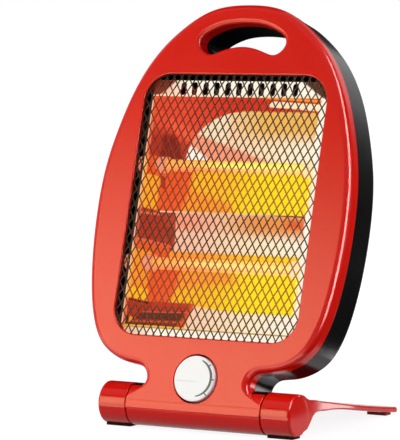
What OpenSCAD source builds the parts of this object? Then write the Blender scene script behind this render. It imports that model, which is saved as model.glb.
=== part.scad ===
// Folding halogen heater: an egg-shaped head with two quartz tubes behind a wire
// guard, hinged on a round barrel at the front edge of a flat sloping foot.
// Millimetres. +Z is up, +Y points to the back and +X to the viewer's right.
// The origin lies on the floor at the middle of the overall footprint.
//
// The head is drawn upright about the hinge axis (x along the axis, y = 0 and
// z = 0 on it) and leaned back as a whole by lean_back().

/* [Hinge barrel] */
// Radius of the hinge barrel
barrel_r = 17.5; // [14:0.5:22]
// Length of the whole barrel, knuckles included
barrel_len = 178; // [160:1:210]
// Length of the middle section, which turns with the head
barrel_mid_len = 124.4; // [110:0.2:140]
// Gap at each seam between the middle section and a knuckle
seam_gap = 0.6; // [0.4:0.1:1.5]
// Radius of the rounded edge at the outer end of a knuckle
knuckle_edge_r = 2.5; // [1:0.5:4]
// Radius of each hinge pin
pin_r = 5; // [4:0.5:6]
// Running clearance around each hinge pin
pin_clear = 0.05; // [0.02:0.01:0.1]
// How far each hinge pin reaches into the middle section
pin_reach = 18; // [12:1:25]
// Angle by which the head leans back from upright
lean = 15.1; // [0:0.1:25]

/* [Head outline] */
// Width of the red rim at each side of the window, where the head is widest
rim_w = 32.4; // [29:0.2:40]
// Height of the head's crown above the top of the window
crown_h = 60.4; // [52:0.2:70]
// Height of the head's lower edge above the hinge axis
hip_z = 31; // [29:0.5:38]
// Width of the neck between the two side notches
neck_w = 95.4; // [84:0.2:106]
// Radius of the round inner end of each side notch
notch_r = 11.2; // [9:0.1:13]
// Depth of the red front shell
front_depth = 15; // [13:0.5:20]
// Depth of the black rear shell
rear_depth = 33; // [30:0.5:40]
// Wall thickness of both shells
wall = 2.5; // [1.8:0.1:3.2]
// Radius of the front shell's outer edge
edge_r = 6; // [3:0.5:8]
// Radius of the rear shell's outer edge
rear_edge_r = 9; // [5:0.5:12]

/* [Carrying handle] */
// Width of the hand hole
grip_w = 87.6; // [74:0.2:92]
// Height of the hand hole
grip_h = 31; // [27:0.5:33]
// Plastic left between the hand hole and the crown
grip_top = 12.5; // [8:0.1:15]
// Radius of the hand hole's rounded front lip
grip_lip = 3.5; // [2:0.5:4.5]

/* [Window and guard] */
// Width of the window in the front shell
window_w = 171; // [150:1:174]
// Height of the window
window_h = 221; // [200:1:226]
// Height of the window's lower edge above the hinge axis
window_z = 54.8; // [52:0.2:62]
// Corner radius of the window
window_r = 23; // [15:1:30]
// Width of one diamond of the guard
guard_pitch_x = 12.4; // [12.2:0.1:16]
// Height of one diamond of the guard
guard_pitch_z = 21; // [20.6:0.2:27]
// Width of the guard's strands
strand_w = 1.1; // [0.9:0.1:1.6]
// Thickness of the guard
guard_t = 1; // [0.8:0.1:1.4]
// Margin by which the guard reaches past the window
guard_margin = 5; // [4:0.5:6]
// Thickness of the frame behind the guard's edge
guard_frame_t = 1.5; // [1:0.1:2]

/* [Reflector] */
// Depth of the reflector's front flange behind the face
flange_depth = 6.2; // [6:0.1:9]
// Width of the reflector's mouth
mouth_w = 154.6; // [140:0.2:158]
// Height of the mouth's lower edge above the hinge axis
mouth_z = 62.7; // [60:0.1:66]
// Height of the mouth
mouth_h = 189; // [178:0.5:194]
// Width of the flange strip at each side and below the mouth
flange_w = 3.4; // [2:0.2:5]
// Height of the slotted strip above the mouth
slot_strip_h = 18.3; // [16:0.1:20]
// Number of slots in that strip
slot_count = 11; // [7:1:13]
// Distance between the slots
slot_pitch = 10.6; // [9:0.1:11]
// Width of a slot
slot_w = 4.4; // [3:0.1:6]
// Height of a slot
slot_h = 10; // [7:0.5:11]
// Depth of the two troughs behind the face
trough_depth = 36; // [33:0.5:37]
// Depth of the ridge between the troughs behind the face
ridge_depth = 21; // [17:0.5:26]
// Height of that ridge above the hinge axis
ridge_z = 162.4; // [156:0.2:166]
// Distance by which each end wall slants inwards
end_slant = 17; // [10:0.5:22]
// Thickness of the reflector sheet
sheet_t = 0.8; // [0.6:0.1:1]

/* [Heating tubes] */
// Outer radius of a quartz tube
tube_r = 5; // [4:0.25:6]
// Wall of a quartz tube
tube_wall = 1; // [0.8:0.1:1.4]
// Depth of the tubes' axes behind the face
tube_depth = 20; // [18:0.5:22]
// Height of the lower tube above the hinge axis
tube_low_z = 118.2; // [112:0.2:126]
// Distance between the two tubes
tube_gap = 83.6; // [76:0.2:90]
// Radius of a ceramic end cap
cap_r = 7; // [6.4:0.1:7.6]
// Distance from the middle to the inner end of each cap
cap_in = 65; // [62:0.5:68]
// Length of a ceramic end cap
cap_len = 25; // [24:0.5:28]
// Radius of the filament winding
filament_r = 2.2; // [1.5:0.1:2.8]

/* [Selector knob] */
// Diameter of the knob
knob_d = 38.5; // [34:0.5:42]
// Height of the knob's axis above the hinge axis
knob_z = 21.6; // [20:0.1:26]
// How far the knob stands out of the face
knob_proud = 2; // [1:0.5:5]
// Thickness of the knob's disc
knob_t = 7; // [6:0.5:8]
// Gap around the knob in its hole
knob_gap = 1; // [0.6:0.1:1.6]
// Radius of the switch shaft
shaft_r = 3; // [2.5:0.25:3.5]

/* [Foot] */
// Distance from the hinge axis to the back edge of the foot
foot_back = 185.8; // [150:1:220]
// Height of the plate's top where it leaves the knuckles, above the floor
plate_front_z = 29.5; // [26:0.5:31]
// Thickness of the plate at its back edge
plate_t = 4.6; // [4:0.1:6]
// Thickness of the arms where they leave the knuckles
arm_t = 12; // [10:0.5:13]
// How far the opening for the neck reaches behind the hinge axis
neck_gap_back = 58; // [54:0.5:66]
// Radius of the corners of the plate
plate_corner_r = 7; // [4:0.5:12]
// Thickness of the rubber pads below the foot
pad_t = 1; // [0.8:0.1:2]
// Half width of the flat underside of each knuckle
knuckle_flat = 7; // [5:0.5:9]

/* [Hidden] */
$fn = 48;

tiny = 0.01;
barrel_mid_half = barrel_mid_len / 2;
barrel_half = barrel_len / 2;
head_w = window_w + 2 * rim_w;
head_top = window_z + window_h + crown_h;
face_set_in = 0.15;
face_y = -(barrel_r - face_set_in);
joint_y = face_y + front_depth;
back_y = joint_y + rear_depth;
axis_z = barrel_r + pad_t;
footprint_mid = (foot_back - barrel_r) / 2;

red = [0.85, 0.09, 0.05];
dark = [0.09, 0.09, 0.1];
steel = [0.72, 0.72, 0.74];
bright = [0.93, 0.87, 0.74];
rubber = [0.13, 0.13, 0.13];
ceramic = [0.93, 0.9, 0.84];
brass = [0.8, 0.65, 0.3];

// ---------- curves ----------

// Point between p1 and p2 of a smooth curve through p0, p1, p2 and p3.
function between(p0, p1, p2, p3, t) =
    0.5 * (2 * p1 + (p2 - p0) * t + (2 * p0 - 5 * p1 + 4 * p2 - p3) * t * t
        + (3 * p1 - p0 - 3 * p2 + p3) * t * t * t);

// Smooth curve through a[1] to a[len - 2], with n steps from each point to the next.
function smooth(a, n) = concat(
    [for (i = [1:len(a) - 3]) for (k = [0:n - 1])
        between(a[i - 1], a[i], a[i + 1], a[i + 2], k / n)],
    [a[len(a) - 2]]);

function reversed(a) = [for (i = [len(a) - 1:-1:0]) a[i]];
function arc(c, r, a0, a1, n) =
    [for (k = [0:n]) let (a = a0 + (a1 - a0) * k / n) c + r * [cos(a), sin(a)]];
function unit(v) = v / norm(v);

// Moves the points of a clockwise curve inwards by d.
function moved_in(a, d) = [for (i = [0:len(a) - 1])
    let (last = len(a) - 1, t = unit(a[min(i + 1, last)] - a[max(i - 1, 0)]))
    a[i] + d * [t[1], -t[0]]];

// Closes a right half that runs from the crown down, by mirroring it.
function whole(half) =
    concat(reversed(half), [for (i = [1:len(half) - 1]) [-half[i][0], half[i][1]]]);

// Rounded rectangle whose lower edge lies at z0.
function round_box(w, h, r, z0, n = 6) = concat(
    arc([w / 2 - r, z0 + r], r, -90, 0, n), arc([w / 2 - r, z0 + h - r], r, 0, 90, n),
    arc([r - w / 2, z0 + h - r], r, 90, 180, n), arc([r - w / 2, z0 + r], r, 180, 270, n));

// Outline of the head: [share of half the width, share of the height above the hip].
head_shares = [
    [0, 1], [0.281, 0.985], [0.488, 0.937], [0.67, 0.866], [0.812, 0.773], [0.912, 0.662],
    [0.978, 0.547], [1, 0.425], [0.992, 0.317], [0.961, 0.21], [0.903, 0.118],
    [0.806, 0.0508], [0.695, 0.0197], [0.585, 0.005],
];
notch_x = neck_w / 2 + notch_r;
notch_z = hip_z - notch_r;
lip_x = barrel_mid_half - 0.3;
curve_steps = 4;

function head_curve() = let (
        p = [for (s = head_shares) [s[0] * head_w / 2, hip_z + s[1] * (head_top - hip_z)]])
    smooth(concat([[-p[1][0], p[1][1]]], p,
        [[notch_x, hip_z], [notch_x - notch_r, hip_z - notch_r / 2]]), curve_steps);

// Right half of the front shell, moved in by d. It flares to the barrel's end at the foot.
function front_half(d) = concat(
    moved_in(head_curve(), d),
    [for (p = arc([notch_x, notch_z], notch_r + d, 100, 270, 10)) p],
    [[lip_x, notch_z - notch_r - d], [lip_x, 0.5]]);

// Right half of the rear shell, moved in by d, with a straight neck that ends at z.
function rear_half(d, z) = concat(
    moved_in(head_curve(), d),
    [for (p = arc([notch_x, notch_z], notch_r + d, 100, 180, 6)) p],
    [[neck_w / 2 - d, z + 4], [neck_w / 2 - d - 4, z]]);

// Hand hole: [share of half the width, share of the height].
grip_shares = [
    [0, 1], [0.24, 0.985], [0.47, 0.93], [0.76, 0.77], [0.95, 0.56], [1, 0.37],
    [0.93, 0.13], [0.75, 0.005], [0.55, 0.045], [0.28, 0.145], [0, 0.185],
];
grip_z = head_top - grip_top - grip_h;
function grip_loop(d) = let (
        p = [for (s = grip_shares) [s[0] * grip_w / 2, grip_z + s[1] * grip_h]],
        last = len(p) - 1)
    whole(moved_in(smooth(concat([[-p[1][0], p[1][1]]], p,
        [[-p[last - 1][0], p[last - 1][1]]]), 2), d));

// ---------- solids ----------

module lean_back() translate([0, -footprint_mid, axis_z]) rotate([-lean, 0, 0]) children();
module standing() translate([0, -footprint_mid, 0]) children();

// Extrudes a shape drawn in x and z from y0 to y1.
module plate_y(y0, y1) translate([0, y1, 0]) rotate([90, 0, 0]) linear_extrude(y1 - y0) children();
// Extrudes a shape drawn in y and z from x0 to x1.
module plate_x(x0, x1) translate([x0, 0, 0]) rotate([90, 0, 90]) linear_extrude(x1 - x0) children();
module rod_x(r, x0, x1) translate([x0, 0, 0]) rotate([0, 90, 0]) cylinder(r = r, h = x1 - x0);
module rod_y(r, y0, y1) translate([0, y1, 0]) rotate([90, 0, 0]) cylinder(r = r, h = y1 - y0);
module at_xz(p) translate([p[0], 0, p[1]]) children();
module both_sides() {
    children();
    mirror([1, 0, 0]) children();
}

// Skin through rings of points, each ring [y, points], from the front to the back.
module loft(rings) {
    n = len(rings[0][1]);
    last = len(rings) - 1;
    points = [for (r = rings) for (p = r[1]) [p[0], r[0], p[1]]];
    walls = [for (k = [0:last - 1]) for (j = [0:n - 1])
        let (a = k * n + j, b = k * n + (j + 1) % n) each [[a, b, b + n], [a, b + n, a + n]]];
    front = [[for (j = [n - 1:-1:0]) j]];
    back = [[for (j = [0:n - 1]) last * n + j]];
    polyhedron(points, concat(front, walls, back), convexity = 10);
}

// Keeps what lies between y0 and y1. A skin that ends past a flat face gets that face from this cut.
module kept_between(y0, y1) intersection() {
    children();
    translate([-head_w, y0, -head_w / 2]) cube([2 * head_w, y1 - y0, 2 * head_w]);
}

// Steps of a quarter round: [share of the radius along the depth, share moved in].
round_steps = 5;
quarter = [for (k = [0:round_steps]) let (a = 90 * k / round_steps) [1 - cos(a), 1 - sin(a)]];

// Screw with a round head, its tip pointing to -y and the head's top at y = 0.
module screw_y(r, length, head_r, head_t) {
    rod_y(head_r, -head_t, 0);
    rod_y(r, -length, -head_t);
}

// ---------- places shared by pieces ----------

guard_y = face_y + wall;
flange_y = face_y + flange_depth;
tube_y = face_y + tube_depth;
tube_zs = [tube_low_z, tube_low_z + tube_gap];
mouth_top = mouth_z + mouth_h;
screw_r = 1.5;
screw_clear = 0.1;
boss_r = 4;

// Bosses that carry the brackets, at the front shell's inner side.
bracket_x = cap_in + cap_len - 4;
bracket_t = 1.2;
bracket_y = face_y + 13;
bracket_screw_head = 2.8;
bracket_boss_x = max(window_w / 2 + guard_margin + boss_r + 1,
    bracket_x + bracket_t + bracket_screw_head + screw_clear);
bracket_boss_zs = [mouth_z + 6, mouth_top - 22];
bracket_ear = [4.5, 7];

// Screws through the rear shell into the front shell.
shell_boss_r = 4.5;
side_boss = [window_w / 2 + guard_margin + shell_boss_r + 1, window_z + window_h * 0.66];
low_boss = [head_w / 2 - 33, hip_z + 19];
shell_boss_places = [
    [0, grip_z - 5.5], [-side_boss[0], side_boss[1]], side_boss, [-low_boss[0], low_boss[1]], low_boss,
];

// ---------- foot ----------

// Side profile of one arm and the plate behind it, as [y, z].
plate_slope = (plate_front_z - pad_t - plate_t) / (foot_back - barrel_r);
arm_root_y = barrel_r + 5;
plate_sag = 1.3;
function top_z(y) = let (s = (y - arm_root_y) / (foot_back - arm_root_y))
    plate_front_z + (pad_t + plate_t - plate_front_z) * s - plate_sag * 4 * s * (1 - s);
function under_z(y) = let (s = (y - arm_root_y) / (foot_back - arm_root_y))
    top_z(y) - plate_t - (arm_t - plate_t) * max(0, 1 - s / 0.42) * max(0, 1 - s / 0.42);
profile_steps = 12;
function plate_profile() = concat(
    [[0, axis_z]],
    [for (s = [[0, 0.98], [0.35, 0.955], [0.6, 0.885], [0.8, 0.785], [1, 0.68]])
        [s[0] * barrel_r, axis_z + s[1] * barrel_r]],
    [for (k = [0:profile_steps]) let (y = arm_root_y + (foot_back - 1.5 - arm_root_y) * k / profile_steps)
        [y, top_z(y)]],
    [[foot_back, top_z(foot_back) - 1.5], [foot_back, under_z(foot_back) + 1.2]],
    [for (k = [profile_steps:-1:1])
        let (y = arm_root_y + 8 + (foot_back - 1.2 - arm_root_y - 8) * k / profile_steps) [y, under_z(y)]],
    [[arm_root_y + 6, under_z(arm_root_y + 6) - 0.3], [arm_root_y + 1.5, axis_z - 4],
        [barrel_r + 1, axis_z - 10], [barrel_r * 0.8, axis_z - barrel_r * 0.75],
        [barrel_r * 0.55, axis_z - barrel_r * 0.8]]);

neck_gap_half = barrel_mid_half + seam_gap;
pad_recess = 0.5;
pad_y = foot_back - 14;
pad_half = [9, 5];
rear_pad_z = under_z(pad_y - pad_half[1]) + pad_recess;
flat_z = axis_z - sqrt(barrel_r * barrel_r - knuckle_flat * knuckle_flat);
pad_screw_x = barrel_half - 13;
pocket_cols = 4;
rib_t = 6;
pocket_w = (barrel_len - 26) / pocket_cols - rib_t;
pocket_len = 34;
pocket_depth = 2;
pocket_ys = [foot_back - 104, foot_back - 62];

module knuckle() {
    inner = barrel_mid_half + seam_gap;
    length = barrel_half - inner;
    translate([inner, 0, axis_z]) rotate([0, 90, 0]) rotate_extrude()
        polygon(concat([[0, 0], [barrel_r, 0]],
            arc([barrel_r - knuckle_edge_r, length - knuckle_edge_r], knuckle_edge_r, 0, 90, 6),
            [[0, length]]));
}

module foot_blank() {
    plate_x(-barrel_half, barrel_half) polygon(plate_profile());
    both_sides() knuckle();
}

module plate_corners() {
    // What lies outside the plate's rounded back corners.
    both_sides() translate([barrel_half - plate_corner_r, foot_back - plate_corner_r, -tiny])
        difference() {
            cube([plate_corner_r + 1, plate_corner_r + 1, axis_z]);
            translate([0, 0, -1]) cylinder(r = plate_corner_r, h = axis_z + 2);
        }
}

module foot() color(red) standing() difference() {
    foot_blank();
    // Room for the middle of the barrel and for the neck as the head leans back.
    translate([-neck_gap_half, -barrel_r - 5, 0])
        cube([2 * neck_gap_half, barrel_r + 5 + neck_gap_back - 10, 2 * axis_z]);
    translate([10 - neck_gap_half, 0, 0])
        cube([2 * neck_gap_half - 20, neck_gap_back, 2 * axis_z]);
    both_sides() translate([neck_gap_half - 10, neck_gap_back - 10, 0]) cylinder(r = 10, h = 2 * axis_z);
    plate_corners();
    // Flat underside of each knuckle.
    translate([-barrel_half - 1, -barrel_r, -5]) cube([barrel_len + 2, barrel_r + knuckle_flat, 5 + flat_z]);
    // Holes for the hinge pins.
    both_sides() translate([0, 0, axis_z]) rod_x(pin_r, barrel_mid_half, barrel_half - 8);
    // Shallow pockets below the plate, between its ribs.
    for (k = [0:pocket_cols - 1]) for (y = pocket_ys)
        translate([(k - (pocket_cols - 1) / 2) * (pocket_w + rib_t), 0, 0])
            plate_x(-pocket_w / 2, pocket_w / 2) polygon([
                [y, -1], [y + pocket_len, -1], [y + pocket_len, under_z(y + pocket_len) + pocket_depth],
                [y, under_z(y) + pocket_depth]]);
    // Recesses for the pads and the screws.
    both_sides() translate([pad_screw_x - pad_half[0], pad_y - pad_half[1], -1])
        cube([2 * pad_half[0], 2 * pad_half[1], 1 + rear_pad_z]);
    both_sides() translate([pad_screw_x, 0, -1]) cylinder(r = screw_r + screw_clear, h = axis_z - pin_r + 2);
}

// Rubber strips below the knuckles, with a hole for the screw.
module foot_pads_front() color(rubber) standing() both_sides() difference() {
    translate([neck_gap_half + 1, 0.5 - knuckle_flat, 0])
        cube([barrel_half - neck_gap_half - 1 - knuckle_edge_r, 2 * knuckle_flat - 1, flat_z]);
    translate([pad_screw_x, 0, -1]) cylinder(r = screw_head_r + 0.2, h = flat_z + 2);
}

module foot_pads_rear() color(rubber) standing() both_sides()
    translate([pad_screw_x - pad_half[0] + 0.2, pad_y - pad_half[1] + 0.2, 0])
        cube([2 * pad_half[0] - 0.4, 2 * pad_half[1] - 0.4, rear_pad_z]);

// Screws from below that lock the hinge pins in the knuckles.
module foot_screws() color(steel) standing() both_sides() translate([pad_screw_x, 0, 0]) {
    translate([0, 0, flat_z - 1.6]) cylinder(r = screw_head_r, h = 1.6);
    translate([0, 0, flat_z - tiny]) cylinder(r = screw_r, h = axis_z - pin_r - flat_z - 0.2);
}

module hinge_pin() color(steel) standing() translate([0, 0, axis_z])
    rod_x(pin_r, barrel_mid_half - pin_reach, barrel_half - 8);
module hinge_pin_left() mirror([1, 0, 0]) hinge_pin();
module hinge_pin_right() hinge_pin();

// ---------- front shell ----------

barrel_wall = 3;
cavity_z = 4;
wire_way_w = 68;
cup_floor = 1.5;
cup_depth = 7.5;
cup_wall = 2;
knob_hole_r = knob_d / 2 + knob_gap;
bush_r = 5;
washer_recess = 2;
washer_r = 11;
peg_r = 1.4;
peg_edge = guard_margin - 2.2;

// Pegs that hold the guard and its frame, at the middle of the frame's width.
function peg_places() = [
    for (x = [-50, 0, 50]) for (z = [window_z - peg_edge, window_z + window_h + peg_edge]) [x, z],
    for (x = [-1, 1]) for (z = [0.3, 0.7])
        [x * (window_w / 2 + peg_edge), window_z + z * window_h],
];

// The hand hole through both shells, with a rounded lip at the face.
module grip_cut(y_end) loft(concat(
    [[face_y - 1, grip_loop(-0.5)]],
    [for (q = quarter) [face_y + grip_lip * q[0], grip_loop(grip_lip * (1 - q[1]))]],
    [[y_end, grip_loop(grip_lip)]]));

module grip_wall(y0, y1) plate_y(y0, y1) polygon(grip_loop(grip_lip - wall));

module shell_cavity(y0, y1, inset, floor_z) plate_y(y0, y1) polygon(whole(rear_half(inset, floor_z)));

module knob_cup() at_xz([0, knob_z])
    rod_y(knob_hole_r + cup_wall, face_y + wall - tiny, face_y + cup_depth + cup_floor);

module front_bosses() {
    for (x = [-1, 1]) for (z = bracket_boss_zs)
        at_xz([x * bracket_boss_x, z]) rod_y(boss_r, face_y + wall - tiny, bracket_y);
    for (p = shell_boss_places) at_xz(p) rod_y(shell_boss_r, face_y + wall - tiny, joint_y + 1);
    for (p = peg_places()) at_xz(p) rod_y(peg_r, guard_y - tiny, guard_y + guard_t + guard_frame_t);
    // Rib that carries the tip-over switch.
    plate_y(face_y + wall - tiny, tip_y0) translate([tip_x - 5, tip_z0 + 4]) square([10, 5]);
}

// What is hollowed out behind the face and inside the middle of the barrel.
module front_hollow() difference() {
    union() {
        shell_cavity(face_y + wall, joint_y + 1, wall + 1, cavity_z);
        rod_x(barrel_r - barrel_wall, -barrel_mid_half + pin_reach + 8, barrel_mid_half - pin_reach - 8);
        // Way from the shells down into the barrel, for the wires.
        translate([-wire_way_w / 2, face_y + wall, cavity_z]) cube([wire_way_w, 2 * barrel_r, barrel_r]);
    }
    knob_cup();
    front_bosses();
    grip_wall(face_y, joint_y + 2);
}

module front_shell() color(red) lean_back() difference() {
    union() {
        difference() {
            kept_between(face_y, joint_y) loft(concat(
                [[face_y - 1, whole(front_half(edge_r))]],
                [for (q = quarter) [face_y + edge_r * q[0], whole(front_half(edge_r * q[1]))]],
                [[joint_y + 1, whole(front_half(0))]]));
            rod_x(barrel_r - barrel_wall / 2, -barrel_half, barrel_half);
        }
        rod_x(barrel_r, -barrel_mid_half, barrel_mid_half);
    }
    front_hollow();
    plate_y(face_y - 1, face_y + wall + 1) polygon(round_box(window_w, window_h, window_r, window_z));
    grip_cut(joint_y + 2);
    // Knob hole and the hole for the switch's bush.
    at_xz([0, knob_z]) {
        rod_y(knob_hole_r, face_y - 1, face_y + cup_depth);
        rod_y(bush_r + screw_clear, face_y, face_y + 2 * cup_depth);
    }
    // Bores for the hinge pins and seats for the friction washers.
    both_sides() {
        rod_x(pin_r + pin_clear, barrel_mid_half - pin_reach - 1, barrel_mid_half + 1);
        rod_x(washer_r + 1, barrel_mid_half - washer_recess, barrel_mid_half + 1);
    }
    // Screw holes in the bosses.
    for (x = [-1, 1]) for (z = bracket_boss_zs)
        at_xz([x * bracket_boss_x, z]) rod_y(screw_r + screw_clear, face_y + wall + 1, bracket_y + 1);
    for (p = shell_boss_places)
        at_xz(p) rod_y(screw_r + screw_clear, face_y + wall + 1, joint_y + 2);
}

// ---------- rear shell ----------

rear_neck_z = 1;
shell_step = 0.4;
shell_screw_seat = joint_y + 10;
screw_head_r = 3;
screw_head_t = 2;
gland_r = 6;
gland_bore_r = 3.6;
gland_place = [0, 46];
vent_w = 44;
vent_h = 4;
vent_pitch = 12;
vent_rows = 12;

module rear_hollow() difference() {
    union() {
        shell_cavity(joint_y - 1, back_y - rear_edge_r, wall + 1, rear_neck_z + wall);
        shell_cavity(joint_y - 1, back_y - wall, wall + 4, rear_neck_z + wall + 4);
    }
    grip_wall(joint_y - 2, back_y);
    for (p = shell_boss_places) at_xz(p) rod_y(shell_boss_r, joint_y - 2, back_y);
}

module rear_shell() color(dark) lean_back() difference() {
    kept_between(joint_y, back_y) loft(concat(
        [[joint_y - 1, whole(rear_half(shell_step, rear_neck_z))]],
        [for (q = reversed(quarter))
            [back_y - rear_edge_r * q[0],
                whole(rear_half(shell_step + rear_edge_r * q[1], rear_neck_z + rear_edge_r * q[1]))]],
        [[back_y + 1, whole(rear_half(shell_step + rear_edge_r, rear_neck_z + rear_edge_r))]]));
    rear_hollow();
    // Room for the barrel.
    rod_x(barrel_r + 0.2, -barrel_mid_half, barrel_mid_half);
    // Hand hole, widening at the back as the front lip does.
    mirror_y_at((face_y + back_y) / 2) grip_cut(face_y + back_y - joint_y + 1);
    // Vents, and the hole for the cord gland.
    for (x = [-1, 1]) for (k = [0:vent_rows - 1])
        translate([x * (vent_w / 2 + 6), 0, 0]) plate_y(back_y - 2 * wall, back_y + 1)
            polygon(round_box(vent_w, vent_h, vent_h / 2, mouth_z + 30 + k * vent_pitch, 3));
    at_xz(gland_place) rod_y(gland_r + screw_clear, back_y - 3 * wall, back_y + 1);
    for (p = shell_boss_places) at_xz(p) {
        rod_y(screw_r + screw_clear, joint_y - 1, shell_screw_seat + 1);
        rod_y(screw_head_r + 0.6, shell_screw_seat, back_y + 1);
    }
}

module mirror_y_at(y) translate([0, 2 * y, 0]) mirror([0, 1, 0]) children();

module shell_screws() color(steel) lean_back() for (p = shell_boss_places)
    at_xz(p) translate([0, shell_screw_seat + screw_head_t, 0]) screw_y(screw_r, 20, screw_head_r, screw_head_t);

module cord_gland() color(dark) lean_back() at_xz(gland_place) difference() {
    union() {
        rod_y(gland_r, back_y - wall - 3, back_y + 9);
        rod_y(gland_r + 3, back_y, back_y + 2);
    }
    rod_y(gland_bore_r, back_y - wall - 4, back_y + 10);
}

// ---------- guard ----------

module guard_outline() polygon(round_box(window_w + 2 * guard_margin, window_h + 2 * guard_margin,
    window_r + guard_margin, window_z - guard_margin));

// Diamonds whose strands are strand_w wide, cut only where a whole diamond fits in the window.
module guard_mesh() color(steel) lean_back() difference() {
    plate_y(guard_y, guard_y + guard_t) guard_outline();
    px = guard_pitch_x / 2;
    pz = guard_pitch_z / 2;
    slack = strand_w / 2 * norm([px, pz]);
    hx = px - slack / pz;
    hz = pz - slack / px;
    nx = floor(window_w / guard_pitch_x);
    nz = floor(window_h / guard_pitch_z);
    mid = window_z + window_h / 2;
    for (i = [-nx:nx]) for (k = [-nz:nz]) if ((i + k) % 2 == 0) {
        x = i * px;
        z = mid + k * pz;
        fits = abs(x) + hx < window_w / 2 + 1 && abs(z - mid) + hz < window_h / 2 + 1
            && norm([max(0, abs(x) - window_w / 2 + window_r), max(0, abs(z - mid) - window_h / 2 + window_r)])
                < window_r - 2;
        if (fits) plate_y(guard_y - 1, guard_y + guard_t + 1)
            polygon([[x - hx, z], [x, z - hz], [x + hx, z], [x, z + hz]]);
    }
    guard_peg_holes();
}

module guard_peg_holes() for (p = peg_places()) at_xz(p)
    rod_y(peg_r + screw_clear, guard_y - 1, guard_y + guard_t + guard_frame_t + 1);

module guard_frame() color(dark) lean_back() difference() {
    plate_y(guard_y + guard_t, guard_y + guard_t + guard_frame_t) guard_outline();
    plate_y(guard_y, guard_y + 5)
        polygon(round_box(window_w + 1, window_h + 1, window_r + 0.5, window_z - 0.5));
    guard_peg_holes();
}

// ---------- reflector ----------

trough_y = face_y + trough_depth;
flange_back = flange_y + sheet_t;
end_t = sheet_t * 1.2;

// Depth of the reflecting surface at height z: two troughs with a ridge between them.
function sheet_y(z) = let (
        t = z < ridge_z ? tube_zs[0] : tube_zs[1],
        edge = z < t ? (z < ridge_z ? mouth_z : ridge_z) : (z < ridge_z ? ridge_z : mouth_top),
        edge_y = edge == ridge_z ? face_y + ridge_depth : flange_y,
        s = (z - t) / (edge - t))
    trough_y - (trough_y - edge_y) * s * s;

trough_steps = 7;
sheet_zs = concat(
    [for (k = [0:trough_steps - 1]) mouth_z + (tube_zs[0] - mouth_z) * k / trough_steps],
    [for (k = [0:trough_steps - 1]) tube_zs[0] + (ridge_z - tiny - tube_zs[0]) * k / trough_steps],
    [for (k = [0:trough_steps - 1]) ridge_z + (tube_zs[1] - ridge_z) * k / trough_steps],
    [for (k = [0:trough_steps]) tube_zs[1] + (mouth_top - tube_zs[1]) * k / trough_steps]);

// Half width of the reflector at depth y, along the slanted end wall.
function mouth_half(y) = mouth_w / 2 - end_slant * (y - flange_y) / (trough_y - flange_y);

module reflector() color(bright) lean_back() {
    y_end = trough_y + 2 * sheet_t;
    intersection() {
        plate_x(-mouth_w, mouth_w) polygon(concat(
            [for (z = sheet_zs) [sheet_y(z), z]],
            [for (z = reversed(sheet_zs)) [sheet_y(z) + sheet_t, z]]));
        translate([0, 0, mouth_z - 1]) linear_extrude(mouth_h + 2) polygon([
            [-mouth_half(flange_back) - end_t, flange_y], [mouth_half(flange_back) + end_t, flange_y],
            [mouth_half(y_end) + end_t, y_end], [-mouth_half(y_end) - end_t, y_end]]);
    }
    difference() {
        plate_y(flange_y, flange_back) translate([-mouth_w / 2 - flange_w, mouth_z - 2 * flange_w])
            square([mouth_w + 2 * flange_w, mouth_h + 2 * flange_w + slot_strip_h]);
        plate_y(flange_y - 1, flange_back + 1) translate([-mouth_w / 2, mouth_z]) square([mouth_w, mouth_h]);
        for (k = [0:slot_count - 1])
            translate([(k - (slot_count - 1) / 2) * slot_pitch, 0, 0]) plate_y(flange_y - 1, flange_back + 1)
                polygon(round_box(slot_w, slot_h, slot_w / 2 - tiny, mouth_top + slot_strip_h / 2 - slot_h / 2 + 2, 4));
    }
}

module reflector_end() color(bright) lean_back() difference() {
    intersection() {
        translate([0, 0, mouth_z]) linear_extrude(mouth_h) polygon([
            [mouth_half(flange_back), flange_back], [mouth_half(flange_back) + end_t, flange_back],
            [mouth_half(trough_y) + end_t, trough_y], [mouth_half(trough_y), trough_y]]);
        plate_x(0, mouth_w) polygon(concat(
            [[flange_back, mouth_z + 1], [flange_back, mouth_top - 1]],
            [for (z = reversed(sheet_zs)) if (sheet_y(z) > flange_back + 0.5) [sheet_y(z), z]]));
    }
    for (z = tube_zs) translate([0, tube_y, z]) rod_x(cap_r + 0.3, 0, mouth_w);
}
module reflector_end_left() mirror([1, 0, 0]) reflector_end();
module reflector_end_right() reflector_end();

// ---------- brackets and heat shield ----------

shield_y = trough_y + 5;
shield_t = 0.8;
lug_h = 22;

// Upright web at each side with holes for the caps, ears at the front and lugs behind the reflector.
module bracket() color([0.35, 0.33, 0.31]) lean_back() difference() {
    union() {
        plate_x(bracket_x, bracket_x + bracket_t) translate([bracket_y, mouth_z])
            square([shield_y - bracket_y, mouth_h]);
        for (z = bracket_boss_zs) plate_y(bracket_y, bracket_y + bracket_t)
            translate([bracket_x, z - bracket_ear[1]])
                square([bracket_boss_x - bracket_x + bracket_ear[0], 2 * bracket_ear[1]]);
        for (z = tube_zs) plate_y(trough_y + sheet_t, trough_y + sheet_t + bracket_t)
            translate([mouth_w / 2 - end_slant - 12, z - lug_h / 2])
                square([bracket_x + bracket_t - mouth_w / 2 + end_slant + 12, lug_h]);
    }
    for (z = tube_zs) translate([0, tube_y, z]) rod_x(cap_r + 0.2, 0, 2 * bracket_x);
    for (z = bracket_boss_zs)
        at_xz([bracket_boss_x, z]) rod_y(screw_r + screw_clear, bracket_y - 1, bracket_y + 5);
}
module bracket_left() mirror([1, 0, 0]) bracket();
module bracket_right() bracket();

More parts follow.
